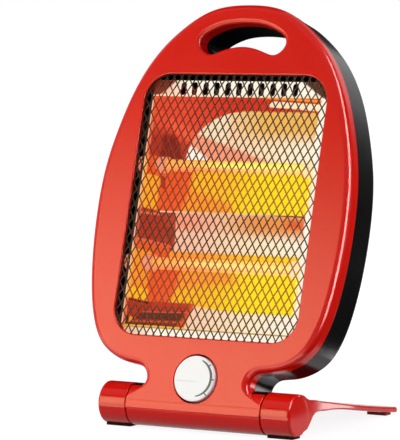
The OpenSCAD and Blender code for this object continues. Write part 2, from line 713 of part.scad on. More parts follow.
module bracket_screws() color(steel) lean_back() for (x = [-1, 1]) for (z = bracket_boss_zs)
    at_xz([x * bracket_boss_x, z]) translate([0, bracket_y + bracket_t + 1.6, 0])
        screw_y(screw_r, 9, bracket_screw_head, 1.6);

module heat_shield() color(steel) lean_back()
    plate_y(shield_y, shield_y + shield_t) translate([-bracket_x - 3, mouth_z])
        square([2 * bracket_x + 6, mouth_h]);

// ---------- heating tubes ----------

module at_tube(i) translate([0, tube_y, tube_zs[i]]) children();

module quartz_tube() difference() {
    rod_x(tube_r, -cap_in - 15, cap_in + 15);
    rod_x(tube_r - tube_wall, -cap_in - 16, cap_in + 16);
}
module quartz_tube_lower() color([0.95, 0.8, 0.5, 0.6]) lean_back() at_tube(0) quartz_tube();
module quartz_tube_upper() color([0.95, 0.8, 0.5, 0.6]) lean_back() at_tube(1) quartz_tube();

// Winding, with a thinner lead at each end that is held in the caps.
module filament() {
    rod_x(filament_r, -cap_in - 6, cap_in + 6);
    rod_x(filament_r / 2, -cap_in - 18, cap_in + 18);
}
module filament_lower() color("orange") lean_back() at_tube(0) filament();
module filament_upper() color("orange") lean_back() at_tube(1) filament();

// Caps with a bore for the tube and a smaller one for the lead.
module ceramic_caps() both_sides() difference() {
    rod_x(cap_r, cap_in, cap_in + cap_len);
    rod_x(tube_r + 0.1, cap_in - 1, cap_in + 15);
    rod_x(filament_r / 2 + 0.1, cap_in, cap_in + 18);
}
module ceramic_caps_lower() color(ceramic) lean_back() at_tube(0) ceramic_caps();
module ceramic_caps_upper() color(ceramic) lean_back() at_tube(1) ceramic_caps();

// ---------- hinge friction washers ----------

module friction_washer() color(steel) standing() translate([0, 0, axis_z]) difference() {
    rod_x(washer_r, barrel_mid_half - washer_recess + 0.2, barrel_mid_half + seam_gap);
    rod_x(pin_r + 0.2, 0, barrel_half);
}
module friction_washer_left() mirror([1, 0, 0]) friction_washer();
module friction_washer_right() friction_washer();

// ---------- selector ----------

switch_w = 28;
switch_h = 23;
switch_d = 17;
cup_back = face_y + cup_depth + cup_floor;

module selector_switch() color([0.2, 0.2, 0.2]) lean_back() at_xz([0, knob_z]) difference() {
    union() {
        plate_y(cup_back, cup_back + switch_d) translate([-switch_w / 2, -switch_h / 2])
            square([switch_w, switch_h]);
        rod_y(bush_r, face_y + 5.6, cup_back + 1);
        for (x = [-9, 0, 9]) plate_y(cup_back + switch_d - tiny, cup_back + switch_d + 6)
            translate([x - 0.4, -3]) square([0.8, 6]);
    }
    rod_y(shaft_r + 0.05, face_y, cup_back + switch_d - 4);
}

module selector_nut() color(brass) lean_back() at_xz([0, knob_z]) difference() {
    plate_y(face_y + 5.8, face_y + cup_depth) circle(r = bush_r + 2.5, $fn = 6);
    rod_y(bush_r + 0.1, face_y, cup_back);
}

// Disc with a rounded front edge, a pointer groove to the left and a bore for the shaft.
module knob() color([0.95, 0.95, 0.96]) lean_back() difference() {
    translate([0, face_y - knob_proud + knob_t, knob_z]) rotate([90, 0, 0]) rotate_extrude($fn = 96)
        polygon(concat([[0, 0], [knob_d / 2, 0]],
            arc([knob_d / 2 - 1.2, knob_t - 1.2], 1.2, 0, 90, 5), [[0, knob_t]]));
    plate_y(face_y - knob_proud - 1, face_y - knob_proud + 0.6)
        translate([-knob_d / 2 - 1, knob_z - 3]) square([knob_d / 2 + 3, 0.8]);
    at_xz([0, knob_z]) rod_y(shaft_r + 0.02, face_y + 1, face_y + knob_t);
}

module knob_shaft() color(steel) lean_back() at_xz([0, knob_z])
    rod_y(shaft_r, face_y + 1, cup_back + switch_d - 5);

// ---------- tip-over switch ----------

tip_x = 50;
tip_w = 22;
tip_h = 21;
tip_d = 24;
tip_z0 = hip_z + 4.6;
tip_y0 = face_y + 12;
tip_wall = 1.5;
tip_pin_r = 1;
tip_arm = 10;
tip_bob_r = 4;
tip_hub_r = 2.2;
tip_pivot = [tip_y0 + 10, tip_z0 + tip_h - tip_wall - tip_hub_r - 0.5];

// Box that is open towards the back, with the pin in its two side walls.
module tip_switch_case() color([0.25, 0.25, 0.27]) lean_back() difference() {
    translate([tip_x - tip_w / 2, tip_y0, tip_z0]) cube([tip_w, tip_d, tip_h]);
    translate([tip_x - tip_w / 2 + tip_wall, tip_y0 + tip_wall, tip_z0 + tip_wall])
        cube([tip_w - 2 * tip_wall, tip_d, tip_h - 2 * tip_wall]);
    translate([0, tip_pivot[0], tip_pivot[1]]) rod_x(tip_pin_r + 0.02, tip_x - tip_w, tip_x + tip_w);
}

module tip_switch_pin() color(steel) lean_back() translate([0, tip_pivot[0], tip_pivot[1]])
    rod_x(tip_pin_r, tip_x - tip_w / 2, tip_x + tip_w / 2);

// Weight that hangs plumb while the head leans.
module tip_pendulum() color(brass) lean_back() translate([0, tip_pivot[0], tip_pivot[1]]) rotate([lean, 0, 0])
    difference() {
        union() {
            rod_x(tip_hub_r, tip_x - 3, tip_x + 3);
            translate([tip_x - 2, -1.5, -tip_arm]) cube([4, 3, tip_arm]);
            translate([0, 0, -tip_arm]) rod_x(tip_bob_r, tip_x - 7, tip_x + 7);
        }
        rod_x(tip_pin_r + 0.05, tip_x - 8, tip_x + 8);
    }

// ---------- small electrical parts ----------

cutout_x = 24;
cutout_r = 8;
cutout_t = 5;
cutout_cap_r = 5.5;
cutout_cap_t = 2;

// Thermostat disc on the front of the heat shield.
module thermal_cutout() color([0.3, 0.3, 0.3]) lean_back() at_xz([cutout_x, ridge_z]) {
    rod_y(cutout_r, shield_y - cutout_t, shield_y);
    rod_y(cutout_cap_r, shield_y - cutout_t - cutout_cap_t, shield_y - cutout_t + tiny);
}

block_size = [34, 14, 14];
block_x = -60;
block_lift = 10;
block_corner = [block_x, back_y - wall - block_size[1], hip_z + block_lift];
block_poles = 3;
block_pitch = block_size[0] / block_poles;
block_bore_depth = 8;
block_screw_len = 7;
block_screw_head = [2.4, 1];

module at_block_poles() for (k = [0:block_poles - 1])
    at_xz([block_corner[0] + block_pitch * (k + 0.5), block_corner[2] + block_size[2] / 2]) children();

module terminal_block() color(ceramic) lean_back() difference() {
    translate(block_corner) cube(block_size);
    at_block_poles() rod_y(screw_r + screw_clear, block_corner[1] - 1, block_corner[1] + block_bore_depth);
}

module terminal_screws() color(brass) lean_back() at_block_poles() mirror_y_at(block_corner[1])
    translate([0, block_corner[1] + block_screw_head[1], 0])
        screw_y(screw_r, block_screw_len, block_screw_head[0], block_screw_head[1]);

// ---------- the part ----------

foot();
foot_pads_front();
foot_pads_rear();
foot_screws();
hinge_pin_left();
hinge_pin_right();
friction_washer_left();
friction_washer_right();
front_shell();
rear_shell();
shell_screws();
cord_gland();
guard_mesh();
guard_frame();
reflector();
reflector_end_left();
reflector_end_right();
bracket_left();
bracket_right();
bracket_screws();
heat_shield();
quartz_tube_upper();
quartz_tube_lower();
filament_upper();
filament_lower();
ceramic_caps_upper();
ceramic_caps_lower();
selector_switch();
selector_nut();
knob();
knob_shaft();
tip_switch_case();
tip_switch_pin();
tip_pendulum();
thermal_cutout();
terminal_block();
terminal_screws();
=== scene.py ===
"""Looks of the halogen heater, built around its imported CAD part.

Lengths are in millimetres, and make() turns them into metres. The head's pieces are drawn in the
head's own frame: x to the right, y to the back, z up along the face, hinge axis at the origin.
The foot's pieces are drawn in the foot's frame: upright, hinge axis above the origin.
"""
import math

import bpy
import numpy as np
from mathutils import Matrix, Vector, geometry

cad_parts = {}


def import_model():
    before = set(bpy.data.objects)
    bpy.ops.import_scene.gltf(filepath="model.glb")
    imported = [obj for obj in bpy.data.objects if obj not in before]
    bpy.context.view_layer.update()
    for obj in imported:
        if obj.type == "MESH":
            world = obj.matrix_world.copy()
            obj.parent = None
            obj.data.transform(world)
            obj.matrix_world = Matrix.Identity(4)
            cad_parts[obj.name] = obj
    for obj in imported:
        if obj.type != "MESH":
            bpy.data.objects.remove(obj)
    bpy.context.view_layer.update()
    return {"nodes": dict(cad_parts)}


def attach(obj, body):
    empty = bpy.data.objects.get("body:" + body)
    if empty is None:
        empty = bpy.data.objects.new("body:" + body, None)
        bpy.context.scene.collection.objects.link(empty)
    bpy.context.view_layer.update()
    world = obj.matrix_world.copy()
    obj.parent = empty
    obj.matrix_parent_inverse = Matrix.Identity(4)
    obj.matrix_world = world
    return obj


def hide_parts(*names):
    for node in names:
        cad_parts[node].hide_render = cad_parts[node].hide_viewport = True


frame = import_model()
MM = 0.001

# ----- sizes, most of them as in the part's source -----

BARREL_R = 17.5
BARREL_HALF = 89.0
MID_HALF = 62.2
SEAM_GAP = 0.6
PAD_T = 1.0
AXIS_Z = BARREL_R + PAD_T
LEAN_DEG = 15.1
FOOT_BACK = 185.8
FOOTPRINT_MID = (FOOT_BACK - BARREL_R) / 2

FRONT_DEPTH, REAR_DEPTH = 15.0, 33.0
FACE_Y = -17.35
JOINT_Y = FACE_Y + FRONT_DEPTH
BACK_Y = JOINT_Y + REAR_DEPTH
WALL = 2.5
EDGE_R = 6.0
REAR_EDGE_R = (4.5, 5.0)
SHELL_STEP = 0.4

WINDOW_W, WINDOW_H, WINDOW_Z, WINDOW_R = 171.0, 221.0, 54.8, 23.0
SIDE_W, CROWN_H = 32.4, 60.4
HEAD_W = WINDOW_W + 2 * SIDE_W
HEAD_TOP = WINDOW_Z + WINDOW_H + CROWN_H
HIP_Z = 31.0
NECK_HALF = 47.7
NOTCH_R, NOTCH_START = 11.2, 100
NOTCH = (NECK_HALF + NOTCH_R, HIP_Z - NOTCH_R)
LIP_X, LIP_Z = MID_HALF - 0.3, 4.6

GRIP_W, GRIP_H, GRIP_TOP, GRIP_LIP, REAR_LIP = 87.6, 34.2, 12.5, 3.5, 2.2
GRIP_Z = HEAD_TOP - GRIP_TOP - GRIP_H

KNOB_Z, KNOB_R, KNOB_PROUD, KNOB_T, KNOB_GAP = 21.6, 19.25, 2.0, 7.0, 1.0

FOOT = Matrix.Translation((0, -FOOTPRINT_MID * MM, 0))
HEAD = FOOT @ Matrix.Translation((0, 0, AXIS_Z * MM)) @ Matrix.Rotation(-math.radians(LEAN_DEG), 4, "X")

# Share of half the width and share of the height above the hip, along the head's right outline.
HEAD_SHARES = [
    (0, 1), (0.281, 0.985), (0.488, 0.937), (0.67, 0.866), (0.812, 0.773), (0.912, 0.662),
    (0.978, 0.547), (1, 0.425), (0.992, 0.317), (0.961, 0.21), (0.903, 0.118),
    (0.806, 0.0508), (0.695, 0.0197), (0.585, 0.005),
]
# Share of half the width and share of the height, along the hand hole's right half.
GRIP_SHARES = [
    (0, 1), (0.24, 0.986), (0.47, 0.937), (0.76, 0.79), (0.95, 0.6), (1, 0.43),
    (0.91, 0.15), (0.69, 0), (0.49, 0.055), (0.26, 0.155), (0, 0.199),
]


# ----- curves -----

def spline(points, first, last, steps):
    """A curve of continuous curvature through the points, with the directions of its two ends."""
    p = np.array(points, float)
    chord = np.linalg.norm(np.diff(p, axis=0), axis=1)
    slope = np.diff(p, axis=0) / chord[:, None]
    n = len(p)
    a = np.zeros((n, n))
    b = np.zeros((n, 2))
    a[0, 0] = a[-1, -1] = 1
    b[0], b[-1] = first, last
    for i in range(1, n - 1):
        before, after = chord[i - 1], chord[i]
        a[i, i - 1:i + 2] = after, 2 * (before + after), before
        b[i] = 3 * (after * slope[i - 1] + before * slope[i])
    m = np.linalg.solve(a, b)
    out = []
    for i in range(n - 1):
        h = chord[i]
        for t in np.arange(steps) / steps:
            out.append((2 * t**3 - 3 * t**2 + 1) * p[i] + (t**3 - 2 * t**2 + t) * h * m[i]
                       + (3 * t**2 - 2 * t**3) * p[i + 1] + (t**3 - t**2) * h * m[i + 1])
    return out + [p[-1]]


def arc(centre, r, a0, a1, n):
    angles = np.radians(np.linspace(a0, a1, n + 1))
    return [(centre[0] + r * math.cos(a), centre[1] + r * math.sin(a)) for a in angles]


def mirrored(half):
    """Closes a right half that runs from the crown down, by mirroring it."""
    return np.array(half[::-1] + [(-x, z) for x, z in half[1:]])


def round_box(w, h, r, z0, n=8):
    return np.array(
        arc((w / 2 - r, z0 + r), r, -90, 0, n) + arc((w / 2 - r, z0 + h - r), r, 0, 90, n)
        + arc((r - w / 2, z0 + h - r), r, 90, 180, n) + arc((r - w / 2, z0 + r), r, 180, 270, n))


def circle(centre, r, n=64):
    return np.array(arc(centre, r, 0, 360, n)[:-1])


def eased(share):
    t = np.clip(share, 0, 1)
    return t * t * (3 - 2 * t)


def unit(vectors):
    return vectors / np.maximum(np.linalg.norm(vectors, axis=1), 1e-9)[:, None]


class Loop:
    """A closed line with the directions that lead out of the material beside it."""

    def __init__(self, points, hole=False):
        keep = np.linalg.norm(points - np.roll(points, 1, 0), axis=1) > 1e-6
        p = points[keep]
        turn = np.sum(p[:, 0] * np.roll(p[:, 1], -1) - p[:, 1] * np.roll(p[:, 0], -1))
        if turn < 0:
            p = p[::-1]
        ahead = unit(np.roll(p, -1, 0) - p)
        right = np.c_[ahead[:, 1], -ahead[:, 0]]
        normal = unit(right + np.roll(right, 1, 0))
        reach = 1 / np.maximum(np.sum(normal * right, axis=1), 0.5)
        self.points = p
        self.normal = -normal if hole else normal
        self.out = self.normal * reach[:, None]

    def inset(self, d):
        return self.points - np.reshape(d, (-1, 1)) * self.out


def head_half(end_angle, arc_steps):
    """The head's right outline, from the crown down to end_angle on the notch's arc."""
    p = [(s[0] * HEAD_W / 2, HIP_Z + s[1] * (HEAD_TOP - HIP_Z)) for s in HEAD_SHARES]
    start = math.radians(NOTCH_START)
    joint = (NOTCH[0] + NOTCH_R * math.cos(start), NOTCH[1] + NOTCH_R * math.sin(start))
    leave = (-math.sin(start), math.cos(start))
    return spline(p + [joint], (1, 0), leave, 8)[:-1] + arc(NOTCH, NOTCH_R, NOTCH_START, end_angle, arc_steps)


def grip_loop(d):
    """The hand hole's outline, drawn in by d."""
    p = [(s[0] * GRIP_W / 2, GRIP_Z + s[1] * GRIP_H) for s in GRIP_SHARES]
    return Loop(Loop(mirrored(spline(p, (1, 0), (-1, 0), 5))).inset(d), hole=True)


# ----- meshes -----

def inside(loop, q):
    """Which of the points q lie inside the closed line."""
    a, b = loop, np.roll(loop, -1, 0)
    x, z = q[:, 0][:, None], q[:, 1][:, None]
    crosses = (a[:, 1] > z) != (b[:, 1] > z)
    with np.errstate(divide="ignore", invalid="ignore"):
        at = a[:, 0] + (z - a[:, 1]) * (b[:, 0] - a[:, 0]) / (b[:, 1] - a[:, 1])
    return (np.sum(crosses & (x < at), axis=1) % 2) == 1


def added(name, data):
    obj = bpy.data.objects.new(name, data)
    bpy.context.scene.collection.objects.link(obj)
    return obj


class Sheet:
    """Collects vertices with their normals and faces, and makes an object of them."""

    def __init__(self):
        self.v, self.n, self.f = [], [], []

    def ring(self, points, normals):
        first = sum(len(v) for v in self.v)
        self.v.append(np.asarray(points, float))
        self.n.append(np.broadcast_to(normals, (len(points), 3)))
        return np.arange(first, first + len(points))

    def strip(self, a, b, closed=True):
        n = len(a)
        for j in range(n if closed else n - 1):
            k = (j + 1) % n
            self.f.append((a[j], a[k], b[k], b[j]))

    def fill(self, loops, extra=(), lift=None):
        """Fills the plane between closed lines of x and z, the first of which lies outside.
        Each is (ring's numbers, its points). lift(points) gives place and normal in space."""
        pts = np.concatenate([p for _, p in loops] + ([np.asarray(extra)] if len(extra) else []))
        ids = np.concatenate([i for i, _ in loops])
        edges, start = [], 0
        for i, _ in loops:
            n = len(i)
            edges += [(start + j, start + (j + 1) % n) for j in range(n)]
            start += n
        verts, _, tris, origin, _, _ = geometry.delaunay_2d_cdt([Vector(p) for p in pts], edges, [], 0, 1e-7)
        if len(extra):
            place, normal = lift(np.asarray(extra))
            ids = np.concatenate([ids, self.ring(place, normal)])
        crossed = [tuple(v) for v, o in zip(verts, origin) if not o]
        if crossed:
            raise ValueError(f"lines cross at {crossed[:4]}")
        number = [ids[o[0]] for o in origin]
        tri = np.array(tris, int)
        flat = np.array([tuple(v) for v in verts])
        mid = flat[tri].mean(1)
        keep = inside(loops[0][1], mid)
        for _, p in loops[1:]:
            keep &= ~inside(p, mid)
        self.f += [tuple(number[k] for k in t) for t in tri[keep]]

    def outward(self, face, v, n):
        """The face, turned over if it looks against the normals of its corners."""
        p = v[list(face)]
        look = np.cross(p[1] - p[0], p[2] - p[0]) + np.cross(p[2] - p[0], p[-1] - p[0])
        face = [int(i) for i in face]
        return face if look @ n[face].sum(0) >= 0 else face[::-1]

    def make(self, name, matrix, material):
        mesh = bpy.data.meshes.new(name)
        v, n = np.concatenate(self.v), np.concatenate(self.n)
        faces = [self.outward(f, v, n) for f in self.f]
        place = np.array(matrix)
        v = v * MM @ place[:3, :3].T + place[:3, 3]
        n = n @ place[:3, :3].T
        mesh.from_pydata(v.tolist(), [], faces)
        mesh.polygons.foreach_set("use_smooth", [True] * len(mesh.polygons))
        mesh.validate()
        mesh.normals_split_custom_set_from_vertices(unit(n).tolist())
        mesh.materials.append(material)
        return added(name, mesh)


# Bevel of a wall's free edge, and the radius at which a turned end stops short of its axis.
RIM_BEVEL, AXIS_END_R = 0.3, 0.01


def moulding(sheet, outer, holes, front, wall_in, steps=8, facing=-1):
    """A shell's panel: a flat face at y = front, rounded over into the walls of the loops.
    outer and holes are (loop, edge radius, depth of the wall's end, wall thickness or 0).
    facing -1 looks to the front, 1 to the back. The inner side of the panel lies wall_in behind it."""

    def ring(loop, inset, y, along, sideways):
        """The loop drawn in by inset. Its normals lean from the y direction towards the loop's own."""
        p, n = loop.inset(inset), loop.normal * sideways
        return sheet.ring(np.c_[p[:, 0], np.broadcast_to(y, len(p)), p[:, 1]],
                          np.c_[n[:, 0], np.full(len(n), along), n[:, 1]])

    inner_y = front - facing * wall_in
    face_loops, inner_loops = [], []
    for loop, r, end, thick in [outer] + holes:
        rings = []
        for k in range(steps + 1):
            sin, cos = math.sin(math.pi / 2 * k / steps), math.cos(math.pi / 2 * k / steps)
            rings.append(ring(loop, r * (1 - sin), front - facing * r * (1 - cos), facing * cos, sin))
        face_loops.append((rings[0], loop.inset(r)))
        y_end = front - facing * end
        rings.append(ring(loop, 0, y_end, 0, 1))
        chains = [rings]
        if thick:
            y_end -= facing * RIM_BEVEL
            rings += [ring(loop, RIM_BEVEL, y_end, -facing, 0.6), ring(loop, thick, y_end, -facing, 0)]
            chains.append([ring(loop, thick, y_end, 0, -1), ring(loop, thick, inner_y, 0, -1)])
        for chain in chains:
            for a, b in zip(chain, chain[1:]):
                sheet.strip(a, b)
        inner_loops.append((ring(loop, thick, inner_y, -facing, 0), loop.inset(thick)))
    sheet.fill(face_loops)
    sheet.fill(inner_loops)


def lathe_x(sheet, profile, centre_z=0.0, n=96, low=None, start=0.0, turn=360.0):
    """Turns a profile of (x, radius, normal along x, normal outwards) about the x direction.
    What falls below low is pressed flat."""
    closed = turn >= 360
    count = n if closed else n + 1
    angles = np.radians(start + turn * np.arange(count) / n)
    rings = []
    for x, r, nx, nr in profile:
        y, z = r * np.cos(angles), centre_z + r * np.sin(angles)
        normal = np.c_[np.full(count, nx), nr * np.cos(angles), nr * np.sin(angles)]
        if low is not None:
            under = z < low
            z = np.where(under, low, z)
            normal[under] = (0, 0, -1) if nr else (nx, 0, 0)
        rings.append(sheet.ring(np.c_[np.full(count, x), y, z], normal))
    for a, b in zip(rings, rings[1:]):
        sheet.strip(a, b, closed)


def round_end(x, r, edge, sign, steps=6):
    """The profile of a rounded end of a turned piece, from its side to its flat end."""
    out = []
    for k in range(steps + 1):
        a = math.pi / 2 * k / steps
        out.append((x - sign * edge * (1 - math.sin(a)), r - edge * (1 - math.cos(a)),
                    sign * math.sin(a), math.cos(a)))
    return out + [(x, AXIS_END_R, sign, 0)]


# ----- materials -----

class Nodes:
    """Short calls that add nodes to a tree."""

    def __init__(self, tree):
        self.tree = tree

    def add(self, kind, inputs, **settings):
        node = self.tree.nodes.new(kind)
        for name, value in settings.items():
            setattr(node, name, value)
        for name, value in inputs.items():
            self.put(node.inputs[name], value)
        return node.outputs

    def put(self, socket, value):
        """Links or sets a socket. A tuple is a colour's red, green and blue."""
        if isinstance(value, bpy.types.NodeSocket):
            self.tree.links.new(value, socket)
        else:
            socket.default_value = (*value, 1) if isinstance(value, tuple) else value

    def math(self, kind, *values):
        return self.add("ShaderNodeMath", dict(enumerate(values)), operation=kind)[0]

    def plus(self, a, b):
        return self.math("ADD", a, b)

    def minus(self, a, b):
        return self.math("SUBTRACT", a, b)

    def mul(self, first, *others):
        for other in others:
            first = self.math("MULTIPLY", first, other)
        return first

    def distance(self, a, b):
        return self.math("SQRT", self.plus(self.mul(a, a), self.mul(b, b)))

    def step(self, value, low, high):
        """0 at low, 1 at high, and smooth between."""
        inputs = {"Value": value, "From Min": low, "From Max": high}
        return self.add("ShaderNodeMapRange", inputs, interpolation_type="SMOOTHSTEP")["Result"]

    def between(self, value, low, high, soft):
        up = self.step(value, low - soft / 2, low + soft / 2)
        return self.mul(up, self.step(value, high + soft / 2, high - soft / 2))

    def left_of(self, u, v, p, q, soft):
        """1 on the left of the line from p to q, 0 on its right."""
        a, b = (p[1] - q[1]) / math.dist(p, q), (q[0] - p[0]) / math.dist(p, q)
        along = self.math("MULTIPLY_ADD", u, a, -a * p[0] - b * p[1])
        return self.step(self.math("MULTIPLY_ADD", v, b, along), -soft / 2, soft / 2)

    def patch(self, u, v, corners, soft):
        """A convex patch with soft edges. Its corners run counter-clockwise."""
        sides = zip(corners, corners[1:] + corners[:1])
        return self.mul(*[self.left_of(u, v, p, q, soft) for p, q in sides])

    def mix(self, factor, a, b):
        return self.add("ShaderNodeMix", {0: factor, 6: a, 7: b}, data_type="RGBA")[2]

    def scale(self, value, low, high):
        """Turns 0 to 1 into low to high."""
        return self.add("ShaderNodeMapRange", {"Value": value, "To Min": low, "To Max": high})["Result"]

    def background_light(self, low, high):
        """Low for light that falls on the object, high for what is seen, mirrored or seen through."""
        path = self.add("ShaderNodeLightPath", {})
        seen = path["Is Camera Ray"]
        for name in ("Is Glossy Ray", "Is Transmission Ray"):
            seen = self.math("MAXIMUM", seen, path[name])
        return self.scale(seen, low, high)


class Shader(Nodes):
    """A material. Its places are those of the row's frame at rest, or of the frame given as origin."""

    def __init__(self, name, origin=None):
        self.material = bpy.data.materials.new(name)
        self.material.use_nodes = True
        super().__init__(self.material.node_tree)
        self.bsdf = self.tree.nodes["Principled BSDF"]
        self.place = self.add("ShaderNodeTexCoord", {})["Object"]
        if origin:
            inputs = {"Vector": self.place, "Location": origin.translation, "Rotation": origin.to_euler()}
            self.place = self.add("ShaderNodeMapping", inputs, vector_type="TEXTURE")[0]

    def axes(self):
        """x, y and z of the place, in millimetres."""
        return [self.mul(metres, 1 / MM) for metres in self.add("ShaderNodeSeparateXYZ", {0: self.place})]

    def noise(self, scale, detail=2.0, stretch=None):
        place = self.place
        if stretch:
            place = self.add("ShaderNodeMapping", {"Vector": place, "Scale": Vector(stretch)})[0]
        return self.add("ShaderNodeTexNoise", {"Vector": place, "Scale": scale, "Detail": detail})["Fac"]

    def bump(self, height, strength, distance):
        inputs = {"Height": height, "Strength": strength, "Distance": distance}
        self.set(Normal=self.add("ShaderNodeBump", inputs)[0])

    def lay(self, colour, *masks):
        """Lays a colour over those laid before, where all its masks are 1. The first one has no mask."""
        self.colour = self.mix(self.mul(*masks), self.colour, colour) if masks else colour

    def set(self, **values):
        for key, value in values.items():
            self.put(self.bsdf.inputs[key.replace("_", " ")], value)
        return self.material


def plastic(name, colour, deep, rough, level):
    """Moulded plastic: slight unevenness of colour and gloss, and a fine moulded grain."""
    s = Shader(name)
    s.bump(s.noise(700), 0.05, 0.00005)
    return s.set(Base_Color=s.mix(s.noise(14, 3), deep, colour), Specular_IOR_Level=level,
                 Roughness=s.scale(s.noise(45, 4), rough * 0.85, rough * 1.15))


def metal(name, colour, tint, rough, brushed=None):
    s = Shader(name)
    s.bump(s.noise(400, 2, brushed), 0.08, 0.0001)
    return s.set(Base_Color=s.mix(s.noise(30, 3), colour, tint), Metallic=1.0,
                 Roughness=s.scale(s.noise(120, 3, brushed), rough * 0.8, rough * 1.25))


def matt(name, colour, deep, rough=0.8, scale=60, level=0.5):
    s = Shader(name)
    s.bump(s.noise(scale * 8, 3), 0.2, 0.0001)
    return s.set(Base_Color=s.mix(s.noise(scale, 4), deep, colour), Roughness=rough, Specular_IOR_Level=level)


RED, DEEP_RED = (0.71, 0.007, 0.0025), (0.69, 0.006, 0.002)
red = plastic("red_gloss", RED, DEEP_RED, 0.2, 0.2)
red_foot = plastic("red_gloss_foot", RED, DEEP_RED, 0.14, 0.2)
black = plastic("black_gloss", (0.006, 0.006, 0.0065), (0.004, 0.004, 0.0045), 0.2, 0.15)
steel = metal("zinc_steel", (0.6, 0.6, 0.62), (0.5, 0.5, 0.52), 0.3, (1, 1, 8))
dark_steel = metal("heat_tinted_steel", (0.14, 0.11, 0.09), (0.2, 0.14, 0.1), 0.45)
brass = metal("brass_plain", (0.75, 0.55, 0.22), (0.6, 0.42, 0.16), 0.3)
rubber = matt("rubber_matt", (0.012, 0.004, 0.003), (0.008, 0.003, 0.002), 0.9, level=0.1)
red_rubber = matt("rubber_red", (0.3, 0.009, 0.006), (0.2, 0.006, 0.004))
ceramic = matt("ceramic_white", (0.85, 0.78, 0.68), (0.8, 0.7, 0.58), 0.6)
housing = matt("housing_dark", (0.07, 0.016, 0.01), (0.035, 0.008, 0.006), 0.55, 90)

KNOB_ARC_R, KNOB_RIM_R, TICK_LEN = 15.3, 18.2, 3.0
KNOB_TICKS = (42, 0, -46)


def knob_material(origin):
    """White plastic with a printed power arc and ticks on its right half. Plain marks, no lettering."""
    s = Shader("knob_white", origin)
    x, y, z = s.axes()
    radius = s.distance(x, z)
    angle = s.mul(s.math("ARCTAN2", z, x), 180 / math.pi)
    # The arc runs slightly inwards from top to bottom, and swells to its widest at the middle.
    away = s.math("ABSOLUTE", s.minus(radius, s.math("MULTIPLY_ADD", angle, 0.009, KNOB_ARC_R)))
    half = s.scale(s.between(angle, -50, 50, 70), 0.5, 1.15)
    ink = s.mul(s.step(s.minus(away, half), 0.2, -0.2), s.between(angle, -78, 70, 8))
    for tick in KNOB_TICKS:
        turned = s.math("ABSOLUTE", s.minus(angle, tick))
        mark = s.mul(s.step(turned, 2.2, 1.4), s.between(radius, KNOB_ARC_R, KNOB_ARC_R + TICK_LEN, 0.3))
        ink = s.math("MAXIMUM", ink, mark)
    s.lay(s.mix(s.noise(25), (0.95, 0.96, 0.98), (0.93, 0.94, 0.97)))
    # A faint grey line painted as the shade of the pointer groove's step, painted shade between the arc and the
    # rim on the right, and the print.
    s.lay((0.3, 0.3, 0.34), s.between(x, -16, 2, 6), s.between(z, -2.9, -2.0, 0.6),
          s.math("LESS_THAN", y, 0.2), 0.22)
    s.lay((0.5, 0.54, 0.6), s.between(radius, KNOB_ARC_R, KNOB_RIM_R, 0.8), s.between(angle, -60, 60, 30), 0.3)
    s.lay((0.025, 0.025, 0.035), ink, s.math("LESS_THAN", y, 2.0), 0.92)
    s.bump(s.noise(600), 0.04, 0.00005)
    return s.set(Base_Color=s.colour, Roughness=s.scale(s.noise(60, 3), 0.28, 0.4), Specular_IOR_Level=0.15)


def tone(r, g, b):
    """A colour given as it looks on a screen, from 0 to 255."""
    return tuple(c / 255 / 12.92 if c < 11 else ((c / 255 + 0.055) / 1.055) ** 2.4 for c in (r, g, b))


CREAM, WHITE_HOT, PALE_PINK = tone(255, 232, 190), tone(255, 246, 228), tone(250, 186, 158)
PINK, AMBER, YELLOW = tone(248, 148, 116), tone(236, 142, 66), tone(252, 226, 16)
GOLD, ORANGE, FLAME = tone(252, 186, 28), tone(250, 148, 40), tone(238, 84, 32)
RED_GLOW, EMBER, BROWN, DARK = tone(216, 22, 6), tone(178, 44, 26), tone(96, 22, 12), tone(40, 8, 6)
RED_MIRROR = tone(228, 62, 36)


def glow(s, strength=1.0, base=(0.05, 0.03, 0.015), rough=0.5):
    """Makes the colours laid so far give off light: the tubes' own glow, and elsewhere painted light, as bright
    metal shows in the light of the tubes.
    """
    return s.set(Base_Color=s.mix(s.noise(40), base, tuple(c * 0.8 for c in base)), Roughness=rough,
                 Specular_IOR_Level=0.1, Emission_Color=s.colour,
                 Emission_Strength=s.mul(s.scale(s.noise(26, 3), 0.9, 1.04), strength))


def filament_material():
    s = Shader("filament_lit")
    s.lay(s.mix(s.noise(18), (1.0, 0.7, 0.25), (0.85, 0.595, 0.2125)))
    return glow(s, 1.5)


# The two tubes, the ridge between their troughs, and the light painted onto the reflector for what a polished
# trough shows:
# each tube's light fills the half below it, and the half above it shows the paler far side.
TUBE_ZS = (118.2, 201.8)
RIDGE_Z = 162.4
LIT_HALVES = ((RIDGE_Z + 0.4, 204.0), (81.0, 120.0))
LIP_TOP_Z = 257.8


